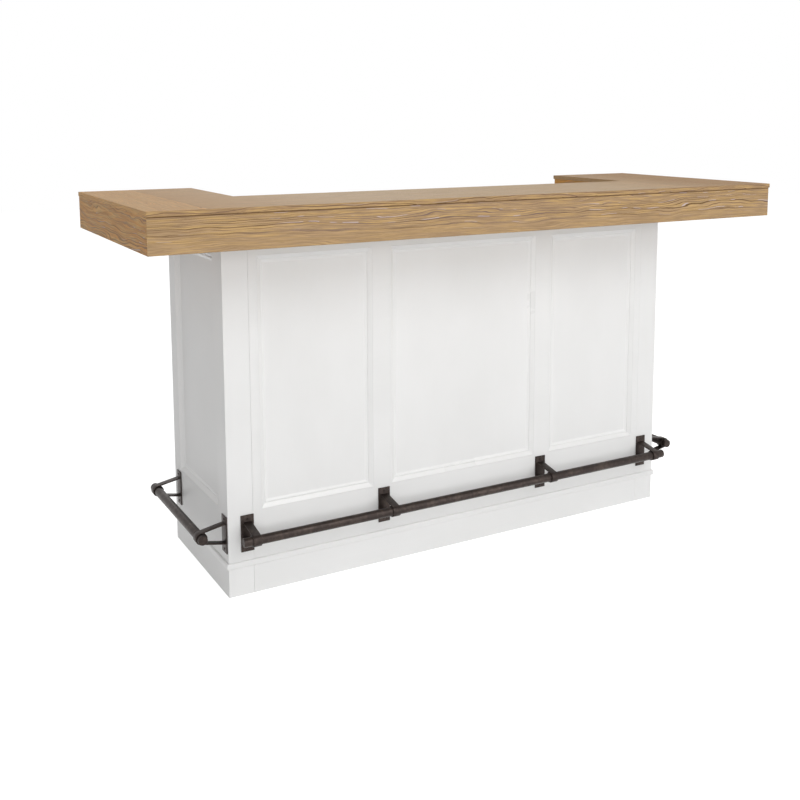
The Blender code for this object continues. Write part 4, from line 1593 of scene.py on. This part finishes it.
    def build_hinges(self, finish: bpy.types.Material) -> list[Object]:
        """Hang each door on the two leaves of its hinge.

        Args:
            finish: Their finish.

        Returns:
            The four hinge leaves.
        """
        pieces = []
        radius, height = self.leaf_screw
        screw = FootRail(screw_radius=radius, screw_height=height).screw()
        door_x = self.gap + self.leaf_thickness / 2
        frame_x = self.hinge_radius - self.leaf_set - self.leaf_thickness / 2
        for body, side in (("door_left", -1), ("door_right", 1)):
            leaves = (("hinge", "counter", frame_x, 0), ("leaf", body, door_x, 1))
            for part, carrier, leaf_x, first in leaves:
                node = f"{body}_{part}"
                low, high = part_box(node)
                piece = self.leaf(node + "_knuckled", side * leaf_x, high.z - low.z, first, screw)
                axis = middle(node)
                axis.y = high.y - self.hinge_radius
                piece.data.transform(Matrix.Translation(axis))
                pieces.append(fit(piece, finish, carrier, node))
        Bench.discard(screw)
        return pieces

    def dress_boards(self) -> None:
        """Paint the boards, the doors and the drawers."""
        level = SatinPaint("paint_board_level", Run.TOP, gloss=0.44).material()
        upright = SatinPaint("paint_board_upright", gloss=0.44).material()
        dress(level, "bottom_board", "work_top", "kick_board", "centre_shelf")
        dress(level, "drawer_deck_left", "drawer_deck_right")
        dress(upright, "divider_left", "divider_right")
        dress(SatinPaint("paint_door", gloss=0.36).material(), "door_left", "door_right")
        birch = Oak(
            "birch",
            Run.FRONT,
            Fade(0.0, 1.0, 0.6, 0.6),
            2.0,
            light=(0.70, 0.55, 0.37),
            lively=(0.70, 0.55, 0.37),
            golden=(0.74, 0.60, 0.41),
            dark=(0.56, 0.41, 0.25),
            ring=0.009,
            limed=0.0,
        )
        front_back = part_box("drawer_left")[1].y - self.front_thickness
        paint = SatinPaint("paint_drawer", Run.FRONT, gloss=0.36)
        finish = DrawerFinish("drawer_finish", front_back, paint, birch).material()
        dress(finish, "drawer_left", "drawer_right")


class Lamp(NamedTuple):
    """A soft square lamp: its name, place, size and power."""

    name: str
    place: Triple
    size: float
    power: float


@dataclass
class Studio:
    """The pale floor, the soft light and the camera.

    Attributes:
        floor_size: The floor's width.
        floor_tone: The floor's brightness.
        floor_glow: The light added to it where it is seen.
        horizon: The strength of the light from all around, low down.
        zenith: Its strength from straight above.
        lamps: The soft lamps.
        target: What they point at.
        sensor: The width of the camera's sensor in millimetres.
        lens: The camera's focal length in millimetres.
        place: The camera's place.
        turn: The camera's turn in degrees.
        shift: The camera's shift in frame widths.
    """

    floor_size: float = 24.0
    floor_tone: float = 0.70
    floor_glow: float = 0.80
    horizon: float = 0.56
    zenith: float = 0.32
    lamps: tuple[Lamp, ...] = (
        Lamp("rear_lamp", (1.0, 5.0, 4.8), 3.0, 48.0),
        Lamp("front_lamp", (-2.8, -5.7, 1.2), 2.5, 88.0),
        Lamp("high_lamp", (1.0, -5.0, 4.5), 3.0, 98.0),
        Lamp("right_lamp", (3.0, -5.5, 1.4), 2.5, 62.0),
    )
    target: Triple = (0.0, 0.0, 0.5)
    sensor: float = 36.0
    lens: float = 46.68
    place: Triple = (-1.5968, -2.6649, 1.2788)
    turn: Triple = (82.665, -0.053, -30.373)
    shift: tuple[float, float] = (-0.0444, -0.188)

    WHITE: ClassVar[tuple[float, ...]] = (1.0, 1.0, 1.0, 1.0)

    def switch(self, recipe: Recipe, lighting: Socket, seen: Socket) -> Socket:
        """Use one shader for light on its way and another for what is seen.

        Args:
            recipe: The nodes in the making.
            lighting: The shader for light on its way.
            seen: The shader for what the camera, a mirror or clear glass sees.

        Returns:
            The shader that switches between the two.
        """
        path = recipe.add("ShaderNodeLightPath").outputs
        mirror = recipe.maths("MAXIMUM", path["Is Camera Ray"], path["Is Glossy Ray"])
        share = recipe.maths("MAXIMUM", mirror, path["Is Transmission Ray"])
        return recipe.add("ShaderNodeMixShader", {0: share, 1: lighting, 2: seen}).outputs[0]

    def build_floor(self) -> None:
        """Lay the floor, which shows white except in the counter's shadow."""
        floor = Bench.start("studio_floor", bpy.ops.mesh.primitive_plane_add, size=self.floor_size)
        recipe = MaterialRecipe("studio_floor")
        recipe.tree.nodes.remove(recipe.surface)
        tone = {"Color": (*(self.floor_tone,) * 3, 1.0)}
        plain = recipe.add("ShaderNodeBsdfDiffuse", tone).outputs[0]
        light = {"Color": self.WHITE, "Strength": self.floor_glow}
        glow = recipe.add("ShaderNodeEmission", light).outputs[0]
        lit = recipe.add("ShaderNodeAddShader", {0: plain, 1: glow}).outputs[0]
        recipe.feed(recipe.output.inputs["Surface"], self.switch(recipe, plain, lit))
        floor.data.materials.append(recipe.material)

    def build_world(self) -> None:
        """Surround the scene with soft light, shown as white."""
        world = bpy.data.worlds.new("studio")
        bpy.context.scene.world = world
        world.use_nodes = True
        recipe = Recipe(world.node_tree)
        recipe.tree.nodes.clear()
        direction = recipe.add("ShaderNodeTexCoord").outputs["Generated"]
        up = recipe.add("ShaderNodeSeparateXYZ", {0: direction}).outputs["Z"]
        level = recipe.span(up, 0.0, 1.0, self.horizon, self.zenith)
        soft, plain = (
            recipe.add("ShaderNodeBackground", {"Color": self.WHITE, "Strength": strength}).outputs[0]
            for strength in (level, 1.0)
        )
        recipe.add("ShaderNodeOutputWorld", {"Surface": self.switch(recipe, soft, plain)})

    def build_lamps(self) -> None:
        """Hang the soft lamps."""
        for lamp in self.lamps:
            data = bpy.data.lights.new(lamp.name, "AREA")
            data.shape = "SQUARE"
            data.size = lamp.size
            data.energy = lamp.power
            item = bpy.data.objects.new(lamp.name, data)
            aim = Vector(self.target) - Vector(lamp.place)
            item.location = lamp.place
            item.rotation_euler = aim.to_track_quat("-Z", "Y").to_euler()
            bpy.context.scene.collection.objects.link(item)

    def build_camera(self) -> None:
        """Set the camera at the photograph's viewpoint."""
        data = bpy.data.cameras.new("camera")
        data.sensor_width = self.sensor
        data.lens = self.lens
        data.shift_x, data.shift_y = self.shift
        camera = bpy.data.objects.new("camera", data)
        camera.location = self.place
        camera.rotation_euler = [math.radians(part) for part in self.turn]
        bpy.context.scene.collection.objects.link(camera)
        bpy.context.scene.camera = camera

    def build(self) -> None:
        """Set up the whole studio."""
        bpy.context.scene.view_settings.view_transform = "Standard"
        self.build_floor()
        self.build_world()
        self.build_lamps()
        self.build_camera()


def main() -> None:
    """Build the counter's sub-assemblies in order and report each new piece."""
    logging.basicConfig(level=logging.INFO, format="%(name)s: %(message)s")
    Studio().build()
    for assembly in (Worktop(), PanelledBody(), FootRail(), ServerSide()):
        pieces = assembly.build()
        LOG.info("%s: %d new pieces", type(assembly).__name__, len(pieces))
        for piece in pieces:
            LOG.info("  %s: %d faces", piece.name, len(piece.data.polygons))


if __name__ == "__main__":
    main()
